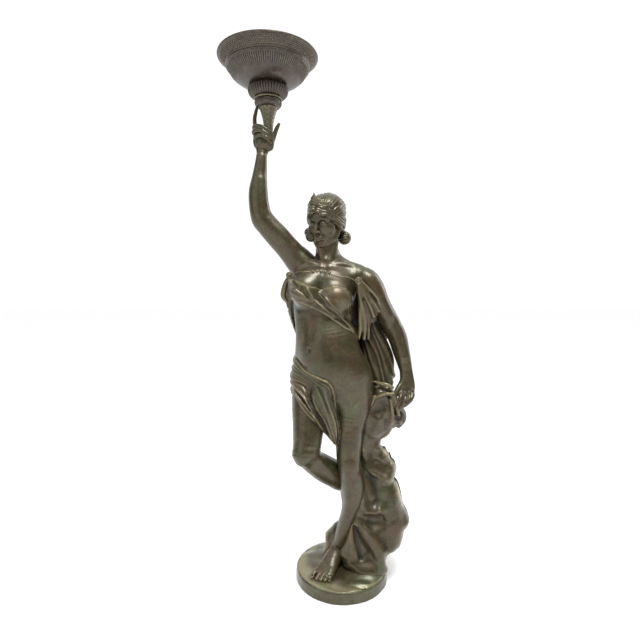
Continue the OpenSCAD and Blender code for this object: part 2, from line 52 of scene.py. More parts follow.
def makeBlock(low, high, step=None):
    # a block of cells over a box in millimetres, every cell far from any surface
    step = step or sculpt["step"]
    low = np.array(low, float) / 1000
    count = np.ceil((np.array(high, float) / 1000 - low) / step).astype(int) + 1
    x, y, z = [(low[i] + step * np.arange(count[i])).astype(np.float32) for i in range(3)]
    return {"low": low, "step": step, "x": x[:, None, None], "y": y[None, :, None], "z": z[None, None, :],
            "d": np.full(count, sculpt["farAway"], np.float32)}


def copyBlock(block):
    # the same cells with distances of their own
    twin = dict(block)
    twin["d"] = block["d"].copy()
    return twin


def cellsIn(block, low, high):
    # the slice of the block that a box in metres covers
    a = np.maximum(np.floor((low - block["low"]) / block["step"]).astype(int), 0)
    b = np.minimum(np.ceil((high - block["low"]) / block["step"]).astype(int) + 1, block["d"].shape)
    return None if (b <= a).any() else tuple(slice(i, j) for i, j in zip(a, b))


def softMin(a, b, k):
    # the smaller of two distances, rounded over a width k where they meet
    if k <= 0:
        return np.minimum(a, b)
    h = np.clip(0.5 + 0.5 * (b - a) / k, 0, 1)
    return b + (a - b) * h - k * h * (1 - h)


def alongCurve(rows, pitch):
    # a smooth curve through the rows, with a new row about every pitch
    rows = np.array(rows, float)
    p = np.vstack([2 * rows[0] - rows[1], rows, 2 * rows[-1] - rows[-2]])
    out = []
    for i in range(len(rows) - 1):
        gap = np.linalg.norm(rows[i + 1, :min(3, rows.shape[1])] - rows[i, :min(3, rows.shape[1])])
        n = max(1, int(round(gap / pitch)))
        t = (np.arange(n) / n)[:, None]
        a, b, c, d = p[i:i + 4]
        out.append(0.5 * (2 * b + (c - a) * t + (2 * a - 5 * b + 4 * c - d) * t * t +
                          (3 * b - a - 3 * c + d) * t ** 3))
    return np.vstack(out + [rows[-1:]])


def limbDistance(block, rows, cap=10.0, pitch=14.0, ripple=None):
    # distance to an oval section [x, y, z, half width, half depth, turn] carried along a smooth curve
    s = alongCurve(rows, pitch)
    s[:, :5] /= 1000
    cap /= 1000
    local = np.full_like(block["d"], sculpt["farAway"])
    for i, (p, q) in enumerate(zip(s[:-1], s[1:])):
        run = q[:3] - p[:3]
        bulge = min(0.7 * min(p[3], p[4]), 0.045)
        before, after = (cap if i == 0 else bulge), (cap if i == len(s) - 2 else bulge)
        length = np.linalg.norm(run)
        t = run / length
        turn = math.radians((p[5] + q[5]) / 2)
        side = np.array([math.cos(turn), -math.sin(turn), 0.0])
        side -= t * side.dot(t)
        side /= np.linalg.norm(side)
        front = np.cross(t, side)
        reach = max(p[3], p[4], q[3], q[4]) + sculpt["farAway"]
        w = cellsIn(block, np.minimum(p[:3], q[:3]) - reach, np.maximum(p[:3], q[:3]) + reach)
        if w is None:
            continue
        dx, dy, dz = block["x"][w[0]] - p[0], block["y"][:, w[1]] - p[1], block["z"][:, :, w[2]] - p[2]
        axial = dx * t[0] + dy * t[1] + dz * t[2]
        f = np.clip(axial / length, 0, 1)
        past = axial - f * length
        capHere = np.where(past < 0, before, after)
        over = past / capHere
        u = dx * side[0] + dy * side[1] + dz * side[2]
        v = dx * front[0] + dy * front[1] + dz * front[2]
        a, b = p[3] + (q[3] - p[3]) * f, p[4] + (q[4] - p[4]) * f
        if ripple:
            fold = 1 + ripple[1] * np.cos(ripple[0] * np.arctan2(v, u) + ripple[2] * (p[2] + dz))
            a, b = a * fold, b * fold
        k0 = np.maximum(np.sqrt((u / a) ** 2 + (v / b) ** 2 + over ** 2), 1e-4)
        k1 = np.maximum(np.sqrt((u / a ** 2) ** 2 + (v / b ** 2) ** 2 + (over / capHere) ** 2), 1e-3)
        local[w] = np.minimum(local[w], k0 * (k0 - 1) / k1)
    return local


def addLimb(block, rows, blend=12.0, cap=10.0, pitch=14.0, ripple=None):
    # joins a limb to the block, rounded over the blend
    block["d"] = softMin(block["d"], limbDistance(block, rows, cap, pitch, ripple), blend / 1000)


def trim(block, outside, blend=3.0):
    # keeps what lies where outside is below zero, with a rounded edge
    block["d"] = -softMin(-block["d"], -outside.astype(np.float32), blend / 1000)


def ballDistance(block, centre, radii, turn=0.0, lean=0.0):
    # distance to an ellipsoid turned about Z and then leant forward, with its own window
    c, r = np.array(centre, float) / 1000, np.array(radii, float) / 1000
    reach = r.max() + sculpt["farAway"]
    w = cellsIn(block, c - reach, c + reach)
    if w is None:
        return None, None
    dx, dy, dz = block["x"][w[0]] - c[0], block["y"][:, w[1]] - c[1], block["z"][:, :, w[2]] - c[2]
    ct, st = math.cos(math.radians(turn)), math.sin(math.radians(turn))
    u, v = dx * ct - dy * st, dx * st + dy * ct
    cl, sl = math.cos(math.radians(lean)), math.sin(math.radians(lean))
    v, q = v * cl - dz * sl, v * sl + dz * cl
    k0 = np.maximum(np.sqrt((u / r[0]) ** 2 + (v / r[1]) ** 2 + (q / r[2]) ** 2), 1e-4)
    k1 = np.maximum(np.sqrt((u / r[0] ** 2) ** 2 + (v / r[1] ** 2) ** 2 + (q / r[2] ** 2) ** 2), 1e-3)
    return w, k0 * (k0 - 1) / k1


def addBall(block, centre, radii, blend=10.0, turn=0.0, lean=0.0):
    # joins an ellipsoid to the block, rounded over the blend
    w, local = ballDistance(block, centre, radii, turn, lean)
    if w:
        block["d"][w] = softMin(block["d"][w], local, blend / 1000)


def cutBall(block, centre, radii, blend=6.0, turn=0.0, lean=0.0):
    # hollows an ellipsoid out of the block, rounded over the blend
    w, local = ballDistance(block, centre, radii, turn, lean)
    if w:
        block["d"][w] = -softMin(-block["d"][w], local, blend / 1000)


def strokeDistance(block, rows, pitch=6.0):
    # distance to a round rope [x, y, z, radius] along a smooth curve
    s = alongCurve(rows, pitch) / 1000
    low, high = s[:, :3].min(0) - s[:, 3].max() - 0.02, s[:, :3].max(0) + s[:, 3].max() + 0.02
    w = cellsIn(block, low, high)
    if w is None:
        return None, None
    x, y, z = block["x"][w[0]], block["y"][:, w[1]], block["z"][:, :, w[2]]
    local = np.full(block["d"][w].shape, sculpt["farAway"], np.float32)
    for p, q in zip(s[:-1], s[1:]):
        run = q[:3] - p[:3]
        f = np.clip(((x - p[0]) * run[0] + (y - p[1]) * run[1] + (z - p[2]) * run[2]) / run.dot(run), 0, 1)
        gap = np.sqrt((x - p[0] - f * run[0]) ** 2 + (y - p[1] - f * run[1]) ** 2 +
                      (z - p[2] - f * run[2]) ** 2)
        local = np.minimum(local, gap - (p[3] + (q[3] - p[3]) * f))
    return w, local


def addStroke(block, rows, blend=5.0, pitch=6.0):
    # joins a rope to the block, rounded over the blend
    w, local = strokeDistance(block, rows, pitch)
    if w:
        block["d"][w] = softMin(block["d"][w], local, blend / 1000)


def cutStroke(block, rows, blend=4.0, pitch=6.0):
    # cuts a round groove along a curve
    w, local = strokeDistance(block, rows, pitch)
    if w:
        block["d"][w] = -softMin(-block["d"][w], local, blend / 1000)


# Relief drawn on the front or back plane, in millimetres across and up

def planeOf(block):
    # the block's places across and up, in millimetres
    return block["x"][:, :, 0] * 1000, block["z"][:, 0, :] * 1000


def gapToCurve(across, up, points, pitch=12.0):
    # distance to a curve, and how far along it the nearest point is, from 0 to 1
    s = alongCurve(points, pitch)
    best = np.full(np.broadcast(across, up).shape, 1e6)
    place = np.zeros_like(best)
    n = len(s) - 1
    for i, (p, q) in enumerate(zip(s[:-1], s[1:])):
        run = q - p
        f = np.clip(((across - p[0]) * run[0] + (up - p[1]) * run[1]) / run.dot(run), 0, 1)
        gap = np.hypot(across - p[0] - f * run[0], up - p[1] - f * run[1])
        nearer = gap < best
        best = np.where(nearer, gap, best)
        place = np.where(nearer, (i + f) / n, place)
    return best, place


def ridge(across, up, points, width, height):
    # a rounded ridge (or, with a negative height, a groove) that fades at both ends
    gap, place = gapToCurve(across, up, points)
    fade = np.clip(place / 0.12, 0.15, 1) * np.clip((1 - place) / 0.12, 0.15, 1)
    return height * np.exp(-(gap / width) ** 2) * fade


def ridges(across, up, rows):
    # the sum of many ridges, each row [points, width, height]
    return sum(ridge(across, up, *row) for row in rows)


def foldsBetween(across, up, first, last, count, height, sharp=0.75):
    # folds that fan between two curves: the wave runs on the share of the way from one to the other
    a, placeA = gapToCurve(across, up, first)
    b, placeB = gapToCurve(across, up, last)
    share = a / (a + b + 1e-6)
    wobble = 0.16 * np.sin(7 * placeA + 3 * share * count)
    wave = 0.5 + 0.5 * np.cos(2 * math.pi * (count * share + wobble))
    return height * (wave ** sharp - 0.5)


def insideOf(across, up, corners):
    # distance to the edge of a region, negative inside it
    c = np.array(corners, float)
    best = np.full(np.broadcast(across, up).shape, 1e6)
    inside = np.zeros(best.shape, bool)
    for p, q in zip(c, np.roll(c, -1, 0)):
        run = q - p
        f = np.clip(((across - p[0]) * run[0] + (up - p[1]) * run[1]) / run.dot(run), 0, 1)
        best = np.minimum(best, np.hypot(across - p[0] - f * run[0], up - p[1] - f * run[1]))
        if p[1] != q[1]:
            crosses = ((p[1] > up) != (q[1] > up)) & (across < run[0] * (up - p[1]) / run[1] + p[0])
            inside ^= crosses
    return np.where(inside, -best, best)


def pressRelief(block, height, middle, facing=-1, soft=30.0):
    # raises the surface by height (mm) on the side facing the front (-1) or the back (1)
    y = block["y"] * 1000
    share = np.clip(0.5 + facing * (y - middle) / soft, 0, 1)
    block["d"] -= (height[:, None, :] * share / 1000).astype(np.float32)


def faceOf(block, facing=-1, level=0.0):
    # how far forward (or back) the surface stands at each point of the plane, in metres
    solid = block["d"] < level
    y = block["y"][0, :, 0]
    if facing < 0:
        first = np.argmax(solid, axis=1)
    else:
        first = solid.shape[1] - 1 - np.argmax(solid[:, ::-1], axis=1)
    return np.where(solid.any(axis=1), y[first], np.nan)


def blurGrid(grid, radius, times=2):
    # running mean of a plane grid, times over
    for _ in range(times):
        for axis in (0, 1):
            pad = [(0, 0), (0, 0)]
            pad[axis] = (radius + 1, radius)
            c = np.cumsum(np.pad(grid, pad, mode="edge"), axis=axis)
            n = grid.shape[axis]
            take = lambda k: np.take(c, np.arange(k, k + n), axis=axis)
            grid = (take(2 * radius + 1) - take(0)) / (2 * radius + 1)
    return grid


def onFace(block, facing, points, radius, lift=0.0):
    # carries a curve drawn on the plane to the surface: rows [x, y, z, radius]
    face = blurGrid(np.nan_to_num(faceOf(block, facing), nan=0.0), 2, 1)
    s = alongCurve(points, 12.0)
    i = np.clip(((s[:, 0] / 1000 - block["low"][0]) / block["step"]).round().astype(int),
                0, face.shape[0] - 1)
    k = np.clip(((s[:, 1] / 1000 - block["low"][2]) / block["step"]).round().astype(int),
                0, face.shape[1] - 1)
    y = face[i, k] * 1000 + facing * lift
    r = (np.full(len(s), float(radius)) if np.isscalar(radius) else
         np.interp(np.linspace(0, 1, len(s)), np.linspace(0, 1, len(radius)), radius))
    return np.column_stack([s[:, 0], y, s[:, 1], r])


def inflate(block, outline, softEdge, middleOf, depthOf, blend=0.0):
    # a pillow that fills an outline on the front plane: its depth grows from nothing at the edge
    bx, bz = planeOf(block)
    inside = np.clip(-insideOf(bx, bz, outline) / softEdge, 0, 1)
    share = np.sqrt(1 - (1 - inside) ** 2)
    up = bz + 0 * bx
    middle = np.interp(up, middleOf[0], middleOf[1])
    depth = np.interp(up, depthOf[0], depthOf[1]) * share
    y = block["y"] * 1000
    local = (np.abs(y - middle[:, None, :]) - depth[:, None, :]) / 1000
    edge = insideOf(bx, bz, outline)[:, None, :] / 1000
    block["d"] = softMin(block["d"], np.maximum(local, edge).astype(np.float32), blend / 1000)


# From distances to bronze pieces

def blurBlock(d, radius):
    # running mean over a cube of cells, one axis after another
    for axis in range(3):
        pad = [(0, 0)] * 3
        pad[axis] = (radius + 1, radius)
        c = np.cumsum(np.pad(d, pad, mode="edge"), axis=axis, dtype=np.float64)
        n = d.shape[axis]
        d = ((np.take(c, np.arange(2 * radius + 1, 2 * radius + 1 + n), axis=axis) -
              np.take(c, np.arange(n), axis=axis)) / (2 * radius + 1)).astype(np.float32)
    return d


def sampleBlock(d, cells):
    # value between the eight cells round each point
    cells = np.clip(cells, 0, np.array(d.shape) - 1.001)
    i = cells.astype(int)
    f = (cells - i).astype(np.float32)
    value = np.zeros(len(cells), np.float32)
    for corner in range(8):
        o = np.array([corner & 1, corner >> 1 & 1, corner >> 2 & 1])
        share = np.prod(np.where(o, f, 1 - f), axis=1)
        value += share * d[tuple((i + o).T)]
    return value


def meshPiece(name, points, faces, wear):
    # one smooth shaded mesh that carries its wear, from 0 in hollows to 1 on high places
    mesh = bpy.data.meshes.new(name)
    mesh.from_pydata(points, [], faces)
    mesh.update()
    mesh.shade_smooth()
    layer = mesh.attributes.new("wear", "FLOAT", "POINT")
    layer.data.foreach_set("value", np.asarray(wear, np.float32))
    piece = bpy.data.objects.new(name, mesh)
    bpy.context.scene.collection.objects.link(piece)
    return piece


def mainParts(cells, quads, least=0.06):
    # leaves out crumbs: parts with less than a share of the points of the largest one
    label = np.arange(len(cells))
    ends = np.vstack([quads[:, [0, 1]], quads[:, [1, 2]], quads[:, [2, 3]], quads[:, [3, 0]]])
    while True:
        low = np.minimum(label[ends[:, 0]], label[ends[:, 1]])
        fresh = label.copy()
        np.minimum.at(fresh, ends[:, 0], low)
        np.minimum.at(fresh, ends[:, 1], low)
        fresh = fresh[fresh]
        if (fresh == label).all():
            break
        label = fresh
    size = np.bincount(label, minlength=len(cells))
    keep = size[label] >= least * size.max()
    number = np.cumsum(keep) - 1
    return cells[keep], number[quads[keep[quads[:, 0]]]]


def castPiece(name, block, wearScale=1.0, smooth=2):
    # the skin where the distance is zero, with how far each point stands out of its surroundings
    d = block["d"].copy()
    for axis in range(3):
        d[tuple(slice(None) if k != axis else slice(0, 1) for k in range(3))] = sculpt["farAway"]
        d[tuple(slice(None) if k != axis else slice(-1, None) for k in range(3))] = sculpt["farAway"]
    grid = openvdb.FloatGrid(sculpt["farAway"])
    grid.copyFromArray(d)
    cells, quads = grid.convertToQuads(isovalue=0.0)
    edges = np.vstack([quads[:, [0, 1]], quads[:, [1, 2]], quads[:, [2, 3]], quads[:, [3, 0]]])
    count = np.bincount(edges[:, 0], minlength=len(cells)).astype(np.float32)[:, None]
    for turn in range(smooth * 2):
        mean = np.stack([np.bincount(edges[:, 0], weights=cells[edges[:, 1], k],
                                     minlength=len(cells)) for k in range(3)], 1) / count
        cells = cells + (0.5 if turn % 2 == 0 else -0.52) * (mean - cells)
    cells, quads = mainParts(cells, quads)
    small = sampleBlock(blurBlock(d, 2) - d, cells)
    large = sampleBlock(blurBlock(d, 6) - d, cells)
    wear = np.clip(0.5 + wearScale * (small * 130 + large * 32), 0, 1)
    points = (cells * block["step"] + block["low"]).astype(np.float32)
    print("sculpted", name, len(quads), "faces")
    return meshPiece(name, points, quads.astype(np.int32), wear)


def spunPiece(name, profile, centre, around, relief=None, closedProfile=True, wearGain=60.0):
    # a profile [radius, height] turned about a vertical axis, its skin moved along its normal
    # by relief(angle, length along the profile, place on the profile)
    p = np.array(profile, float) / 1000
    n = len(p)
    run = np.roll(p, -1, 0) - np.roll(p, 1, 0)
    normal = np.column_stack([run[:, 1], -run[:, 0]])
    normal /= np.maximum(np.linalg.norm(normal, axis=1, keepdims=True), 1e-9)
    length = np.concatenate([[0], np.cumsum(np.linalg.norm(np.diff(p, axis=0), axis=1))])
    angle = np.linspace(0, 2 * math.pi, around, endpoint=False)[:, None]
    moved = relief(angle, length[None, :] * 1000, p[None, :, :] * 1000) if relief else np.zeros((around, n))
    radius = p[None, :, 0] + normal[None, :, 0] * moved / 1000
    height = p[None, :, 1] + normal[None, :, 1] * moved / 1000
    points = np.stack([centre[0] + radius * np.cos(angle), centre[1] + radius * np.sin(angle),
                       centre[2] + height + 0 * angle], -1).reshape(-1, 3)
    i, j = np.meshgrid(np.arange(around), np.arange(n if closedProfile else n - 1), indexing="ij")
    a, b = i * n + j, ((i + 1) % around) * n + j
    c, d = ((i + 1) % around) * n + (j + 1) % n, i * n + (j + 1) % n
    faces = np.stack([a, b, c, d], -1).reshape(-1, 4)
    blur = moved.copy()
    for axis in (0, 1):
        blur = (np.roll(blur, 1, axis) + np.roll(blur, -1, axis) + np.roll(blur, 3, axis) +
                np.roll(blur, -3, axis) + blur) / 5
    wear = np.clip(0.5 + (moved - blur) * wearGain / 100, 0, 1).reshape(-1)
    return meshPiece(name, points, faces, wear)


def denser(profile, pitch):
    # the same profile with a point about every pitch along its straight runs
    out = []
    rows = np.array(profile, float)
    for p, q in zip(rows, np.roll(rows, -1, 0)):
        n = max(1, int(round(np.linalg.norm(q - p) / pitch)))
        out.append(p + (q - p) * (np.arange(n) / n)[:, None])
    return np.vstack(out)


# The woman's body: one block of distances that the skin and the clinging cloth both come from

trunkRows = [[-40, 6, 744, 120, 92, 25], [-40, 4, 790, 148, 114, 25], [-50, -2, 850, 142, 108, 25],
             [-62, -12, 925, 125, 96, 22], [-72, -10, 990, 110, 86, 16], [-75, -2, 1060, 113, 86, 12],
             [-70, 2, 1130, 122, 86, 10], [-62, 8, 1184, 114, 68, 10], [-56, 14, 1218, 78, 50, 10],
             [-58, 16, 1254, 48, 44, 10], [-60, 12, 1300, 43, 43, 14], [-62, 6, 1345, 42, 44, 20]]
standingRows = [[36, 2, 780, 82, 90, 20], [40, -8, 700, 76, 84, 10], [26, -26, 615, 58, 66, 5],
                [22, -50, 515, 47, 51, 0], [27, -46, 455, 44, 48, 0], [43, -32, 360, 45, 48, 0],
                [33, -24, 285, 34, 40, 0], [8, -20, 205, 27, 33, 0], [-3, -8, 150, 28, 34, 20],
                [-6, 2, 100, 26, 34, 36]]
thighRows = [[-112, 14, 780, 82, 88, 25], [-124, -20, 690, 70, 80, 20], [-130, -58, 616, 60, 68, 12],
             [-134, -84, 556, 54, 60, 0], [-138, -92, 524, 46, 48, 0]]
shankRows = [[-146, -96, 522, 38, 38, 50], [-108, -62, 484, 47, 46, 50], [-62, -18, 438, 53, 52, 50],
             [-12, 24, 396, 53, 52, 50], [36, 58, 360, 44, 45, 50], [76, 78, 332, 34, 36, 50],
             [106, 90, 306, 29, 31, 50]]

body = {"low": [-250, -180, 496], "high": [168, 175, 1350], "waistBlend": 34}


def sculptBody(low, high):
    # trunk and thighs run into each other over a wide blend, then the rounder parts are laid on
    b = makeBlock(low, high)
    addLimb(b, trunkRows, 20, 60)
    addLimb(b, [[40, 4, 820, 70, 80, 20]] + [r[:3] + [r[3] + grow, r[4] + grow] + r[5:]
                                             for r, grow in zip(standingRows[:4], (1, 1, 1, -7))],
            body["waistBlend"], 60)
    addLimb(b, [[-96, 18, 826, 70, 78, 25]] + thighRows, body["waistBlend"], 60)
    addBall(b, (-58, -58, 900), (84, 58, 104), 46)
    addBall(b, (-20, -62, 836), (90, 60, 70), 50)
    addBall(b, (26, -34, 776), (66, 56, 80), 50)
    addBall(b, (-72, 76, 790), (72, 62, 74), 34)
    addBall(b, (26, 66, 780), (72, 62, 76), 34)
    addBall(b, (-140, -62, 1128), (54, 46, 56), 26, 14, -14)
    addBall(b, (-27, -72, 1098), (56, 48, 56), 26, -10, -14)
    addBall(b, (-88, -52, 1168), (96, 24, 40), 40)
    addBall(b, (-146, 20, 1208), (50, 48, 52), 36)
    addBall(b, (56, 6, 1188), (58, 44, 38), 40)
    addStroke(b, [[-40, 18, 1262, 22], [0, 16, 1232, 24], [50, 10, 1204, 26]], 30)
    addStroke(b, [[-76, -30, 1224, 7], [-112, -26, 1234, 8], [-150, -8, 1252, 7]], 20)
    addStroke(b, [[-56, -30, 1224, 7], [-18, -28, 1232, 8], [40, -14, 1226, 7]], 20)
    addStroke(b, [[-90, -22, 1304, 8], [-80, -28, 1266, 8], [-68, -32, 1230, 8]], 20)
    addStroke(b, [[-28, -8, 1316, 9], [-42, -24, 1266, 8], [-62, -32, 1230, 8]], 20)
    cutBall(b, (-66, -52, 1238), (10, 9, 11), 14)
    x, z = planeOf(b)
    soft = ridges(x, z, [
        ([(-96, 1060), (-112, 1000), (-124, 935)], 16, -3.2),
        ([(-150, 1080), (-158, 1000), (-156, 930)], 18, -2.6),
        ([(-182, 876), (-158, 858), (-128, 848)], 9, -3.0),
        ([(-176, 1040), (-150, 1052), (-118, 1046)], 12, 2.0),
        ([(40, 1000), (10, 1030), (-40, 1046)], 14, -2.0),
        ([(-56, 1226), (-80, 1180), (-84, 1120)], 14, -3.4),
        ([(60, 700), (54, 620), (36, 560)], 14, -3.0)])
    pressRelief(b, soft, -10)
    cutBall(b, (-128, -106, 916), (6, 9, 8), 9)
    return b


skin = sculptBody(body["low"], body["high"])
print("body sculpted")


def slantOf(block, level, slope, start):
    # height above a slanted line across the front plane, in metres
    return (block["z"] * 1000 - (level - slope * (block["x"] * 1000 - start))) / 1000 / math.hypot(1, slope)


torsoBlock = copyBlock(skin)
withoutThigh = np.maximum(torsoBlock["d"], -slantOf(torsoBlock, 770, 1.2, -184))
torsoBlock["d"] = np.where(torsoBlock["x"] < -0.04, withoutThigh, torsoBlock["d"])
trim(torsoBlock, (0.540 - 0.3 * (torsoBlock["x"] - 0.02)) - torsoBlock["z"], 5)
torso = castPiece("torso", torsoBlock)


# Cloth that clings: the body swollen by a thickness, kept only inside an outline on the front plane

def clingingCloth(block, outline, thickness, height, middle, backOutline=None, rounding=6.0):
    # body distance less the cloth's height, kept inside the outline and 7 mm deep
    b = copyBlock(block)
    x, z = planeOf(b)
    edge = insideOf(x, z, outline)
    body = b["d"].copy()
    swell = (thickness * np.sqrt(np.clip(-edge / rounding, 0, 1)) if rounding else
             np.full(edge.shape, thickness))
    front = (swell + height).astype(np.float32)
    y = b["y"] * 1000
    if backOutline is None:
        b["d"] = np.maximum(body - front[:, None, :] / 1000,
                            np.maximum(edge[:, None, :], y - middle) / 1000)
    else:
        backEdge = insideOf(x, z, backOutline[0])
        back = (thickness + backOutline[1]).astype(np.float32)
        share = np.clip(0.5 + (y - middle) / 40, 0, 1)
        mixEdge = edge[:, None, :] * (1 - share) + backEdge[:, None, :] * share
        mixHeight = front[:, None, :] * (1 - share) + back[:, None, :] * share
        b["d"] = np.maximum(body - mixHeight / 1000, mixEdge / 1000)
    b["d"] = np.maximum(b["d"], -(body + 0.007))
    return b


chest = {"thickness": 3.4, "hem": 4.6}
topEdge = [(-214, 1190), (-186, 1178), (-160, 1165), (-140, 1156), (-108, 1146), (-78, 1129), (-49, 1098),
           (-27, 1078), (3, 1048), (25, 1019), (48, 988), (64, 966)]
hemEdge = [(-226, 1104), (-200, 1106), (-182, 1098), (-149, 1089), (-115, 1074), (-86, 1060), (-56, 1043),
           (-27, 1021), (3, 999), (29, 985), (46, 970), (60, 946)]
bandOutline = topEdge + [(72, 950)] + hemEdge[::-1] + [(-244, 1130)]
x, z = planeOf(skin)
bandFolds = ridges(x, z, [
    ([(-138, 1153), (-122, 1126), (-104, 1100), (-80, 1078), (-50, 1058)], 7, 7.5),
    ([(-152, 1152), (-132, 1112), (-100, 1082)], 6, -3.0),
    ([(-190, 1150), (-171, 1130), (-149, 1115), (-118, 1100), (-92, 1088), (-60, 1064)], 6, 5.5),
    ([(-196, 1128), (-160, 1110), (-120, 1092), (-84, 1074), (-40, 1046), (0, 1020)], 5, 4.0),
    ([(-84, 1126), (-50, 1088), (-14, 1054), (20, 1012), (48, 976)], 4.0, 4.6),
    ([(-98, 1126), (-62, 1086), (-24, 1052), (12, 1012), (40, 980)], 3.4, 3.8),
    ([(-108, 1120), (-74, 1080), (-36, 1048), (4, 1010), (36, 980)], 4.0, -3.6),
    ([(-120, 1134), (-86, 1098), (-46, 1064), (-8, 1034), (30, 996)], 4.0, 3.4),
    ([(-200, 1180), (-196, 1160), (-186, 1140)], 5, 4.5),
    ([(-186, 1176), (-180, 1158), (-166, 1144)], 5, -3.0)])
chestBlock = clingingCloth(skin, bandOutline, chest["thickness"], bandFolds, -5)
thinOutline = [(-82, 1134), (-55, 1143), (-30, 1147), (8, 1139), (28, 1124), (44, 1100), (50, 1030),
               (30, 1008), (3, 1040), (-27, 1070), (-49, 1092)]
gathers = sum(ridge(x, z, [(26 + 7 * k, 1112 - 8 * k), (18 + 8 * k, 1072), (30 + 5 * k, 1018)], 3.4, 3.4)
              for k in range(3))
thinBlock = clingingCloth(skin, thinOutline, 1.6, gathers, -5, rounding=3.0)
chestBlock["d"] = np.minimum(chestBlock["d"], thinBlock["d"])
addStroke(chestBlock, onFace(skin, -1, hemEdge[1:], chest["hem"], 2.5), 5)
addStroke(chestBlock, onFace(skin, -1, topEdge[4:], [2.0, 3.2, 3.2, 3.0, 2.0], 3.0), 4)
addStroke(chestBlock, onFace(skin, -1, [(-82, 1136), (-55, 1144), (-30, 1148), (8, 1140), (26, 1124)], 1.9,
                             1.0), 3)
addStroke(chestBlock, [[-198, -42, 1188, 6], [-212, -30, 1168, 9], [-222, -22, 1138, 11],
                       [-226, -16, 1112, 10], [-214, -14, 1092, 7]], 8)
addStroke(chestBlock, [[-196, -48, 1186, 5], [-200, -52, 1160, 6], [-192, -60, 1132, 5],
                       [-176, -70, 1112, 4]], 7)
chestDrape = castPiece("chestDrape", chestBlock)


hip = {"thickness": 4.2, "foldHeight": 4.2, "folds": 5, "edge": 3.6}
wrapTop = [(-200, 890), (-182, 873), (-161, 851), (-139, 834), (-116, 825), (-79, 813), (-54, 802),
           (-42, 786), (-34, 759), (-29, 721), (-21, 683), (-13, 650), (-8, 610), (-10, 560)]
wrapLow = [(-204, 778), (-184, 748), (-150, 700), (-112, 661), (-90, 638), (-71, 600), (-58, 578),
           (-40, 556)]
bandTop = [(-186, 800), (-165, 786), (-127, 763), (-97, 729), (-78, 696), (-70, 650)]
wrapFolds = (foldsBetween(x, z, wrapTop[1:], [(-200, 800), (-150, 790), (-112, 752), (-84, 700), (-62, 640),
                                              (-52, 580)], hip["folds"], hip["foldHeight"]) +
             ridges(x, z, [
    (wrapTop[4:], 5.5, 6.5),
    (bandTop, 9, -4.0),
    ([(-186, 778), (-154, 747), (-131, 717), (-109, 680), (-86, 640), (-68, 606)], 5, 8.0),
    ([(-180, 756), (-150, 720), (-124, 690), (-100, 660), (-80, 624)], 4, 6.0),
    ([(-184, 764), (-152, 732), (-126, 700), (-100, 668)], 3.2, -4.0),
    ([(-70, 760), (-58, 700), (-46, 640), (-36, 590)], 5, 5.0),
    ([(-100, 780), (-74, 730), (-60, 670), (-50, 610)], 4.5, -4.5)]))
back = foldsBetween(x, z, [(-200, 900), (-60, 880), (100, 840)], [(-200, 620), (-60, 600), (90, 560)], 9,
                    7.0)
backOutline = [(-215, 892), (-100, 880), (40, 866), (150, 850), (150, 690), (60, 640), (-40, 600),
               (-215, 640)]
hipBlock = clingingCloth(skin, wrapTop + [(-30, 540)] + wrapLow[::-1] + [(-230, 800)], hip["thickness"],
                         wrapFolds, 10, (backOutline, back))
addStroke(hipBlock, onFace(skin, -1, wrapTop[1:12], hip["edge"], 3.0), 6)
addStroke(hipBlock, onFace(skin, -1, wrapLow[1:7], 3.6, 3.0), 5)
tail = [(-112, 800), (-70, 806), (-44, 786), (-34, 757), (-28, 720), (-20, 682), (-12, 650), (-8, 610),
        (-14, 575), (-22, 545), (-34, 552), (-48, 568), (-66, 592), (-84, 630), (-104, 664), (-126, 700),
        (-124, 750)]
inflate(hipBlock, tail, 30, ([540, 600, 680, 760, 820], [-56, -62, -66, -72, -78]),
        ([540, 600, 680, 760, 820], [30, 42, 48, 44, 30]), 10)
hipX, hipZ = planeOf(hipBlock)
gathered = (foldsBetween(hipX, hipZ, [(-44, 790), (-30, 720), (-16, 650), (-14, 560)],
                         [(-150, 770), (-118, 700), (-84, 640), (-40, 555)], 4, 4.6, 1.4) *
            np.clip((812 - hipZ) / 60, 0, 1) * np.clip(-insideOf(hipX, hipZ, tail) / 8, 0, 1))
pressRelief(hipBlock, gathered, -60, -1, 30)
hipDrape = castPiece("hipDrape", hipBlock)


# Legs

leg = {"step": 0.0024, "toe": 8.5}
legBlock = makeBlock((-150, -160, 40), (112, 96, 690), leg["step"])
addLimb(legBlock, [[38, -10, 672, 56, 64, 10], [26, -26, 615, 57, 65, 5]] + standingRows[3:], 12)
addBall(legBlock, (26, -78, 470), (30, 26, 36), 22)
addBall(legBlock, (62, 2, 372), (30, 34, 70), 26)
addBall(legBlock, (22, 2, 366), (28, 32, 66), 26)
addStroke(legBlock, [[30, -76, 430, 8], [30, -64, 350, 9], [20, -52, 270, 9], [2, -44, 200, 9],
                     [-10, -34, 150, 9]], 22)
addBall(legBlock, (-26, -8, 128), (14, 16, 16), 14)
addBall(legBlock, (20, 4, 120), (13, 16, 15), 14)
addLimb(legBlock, [[14, 40, 74, 24, 24, 36], [-2, 22, 84, 31, 32, 36], [-28, -18, 90, 33, 34, 36],
                   [-54, -60, 74, 37, 22, 36], [-70, -88, 63, 40, 13, 36]], 14)
cutStroke(legBlock, [[18, 52, 190, 10], [10, 50, 150, 9], [4, 52, 122, 8]], 14)
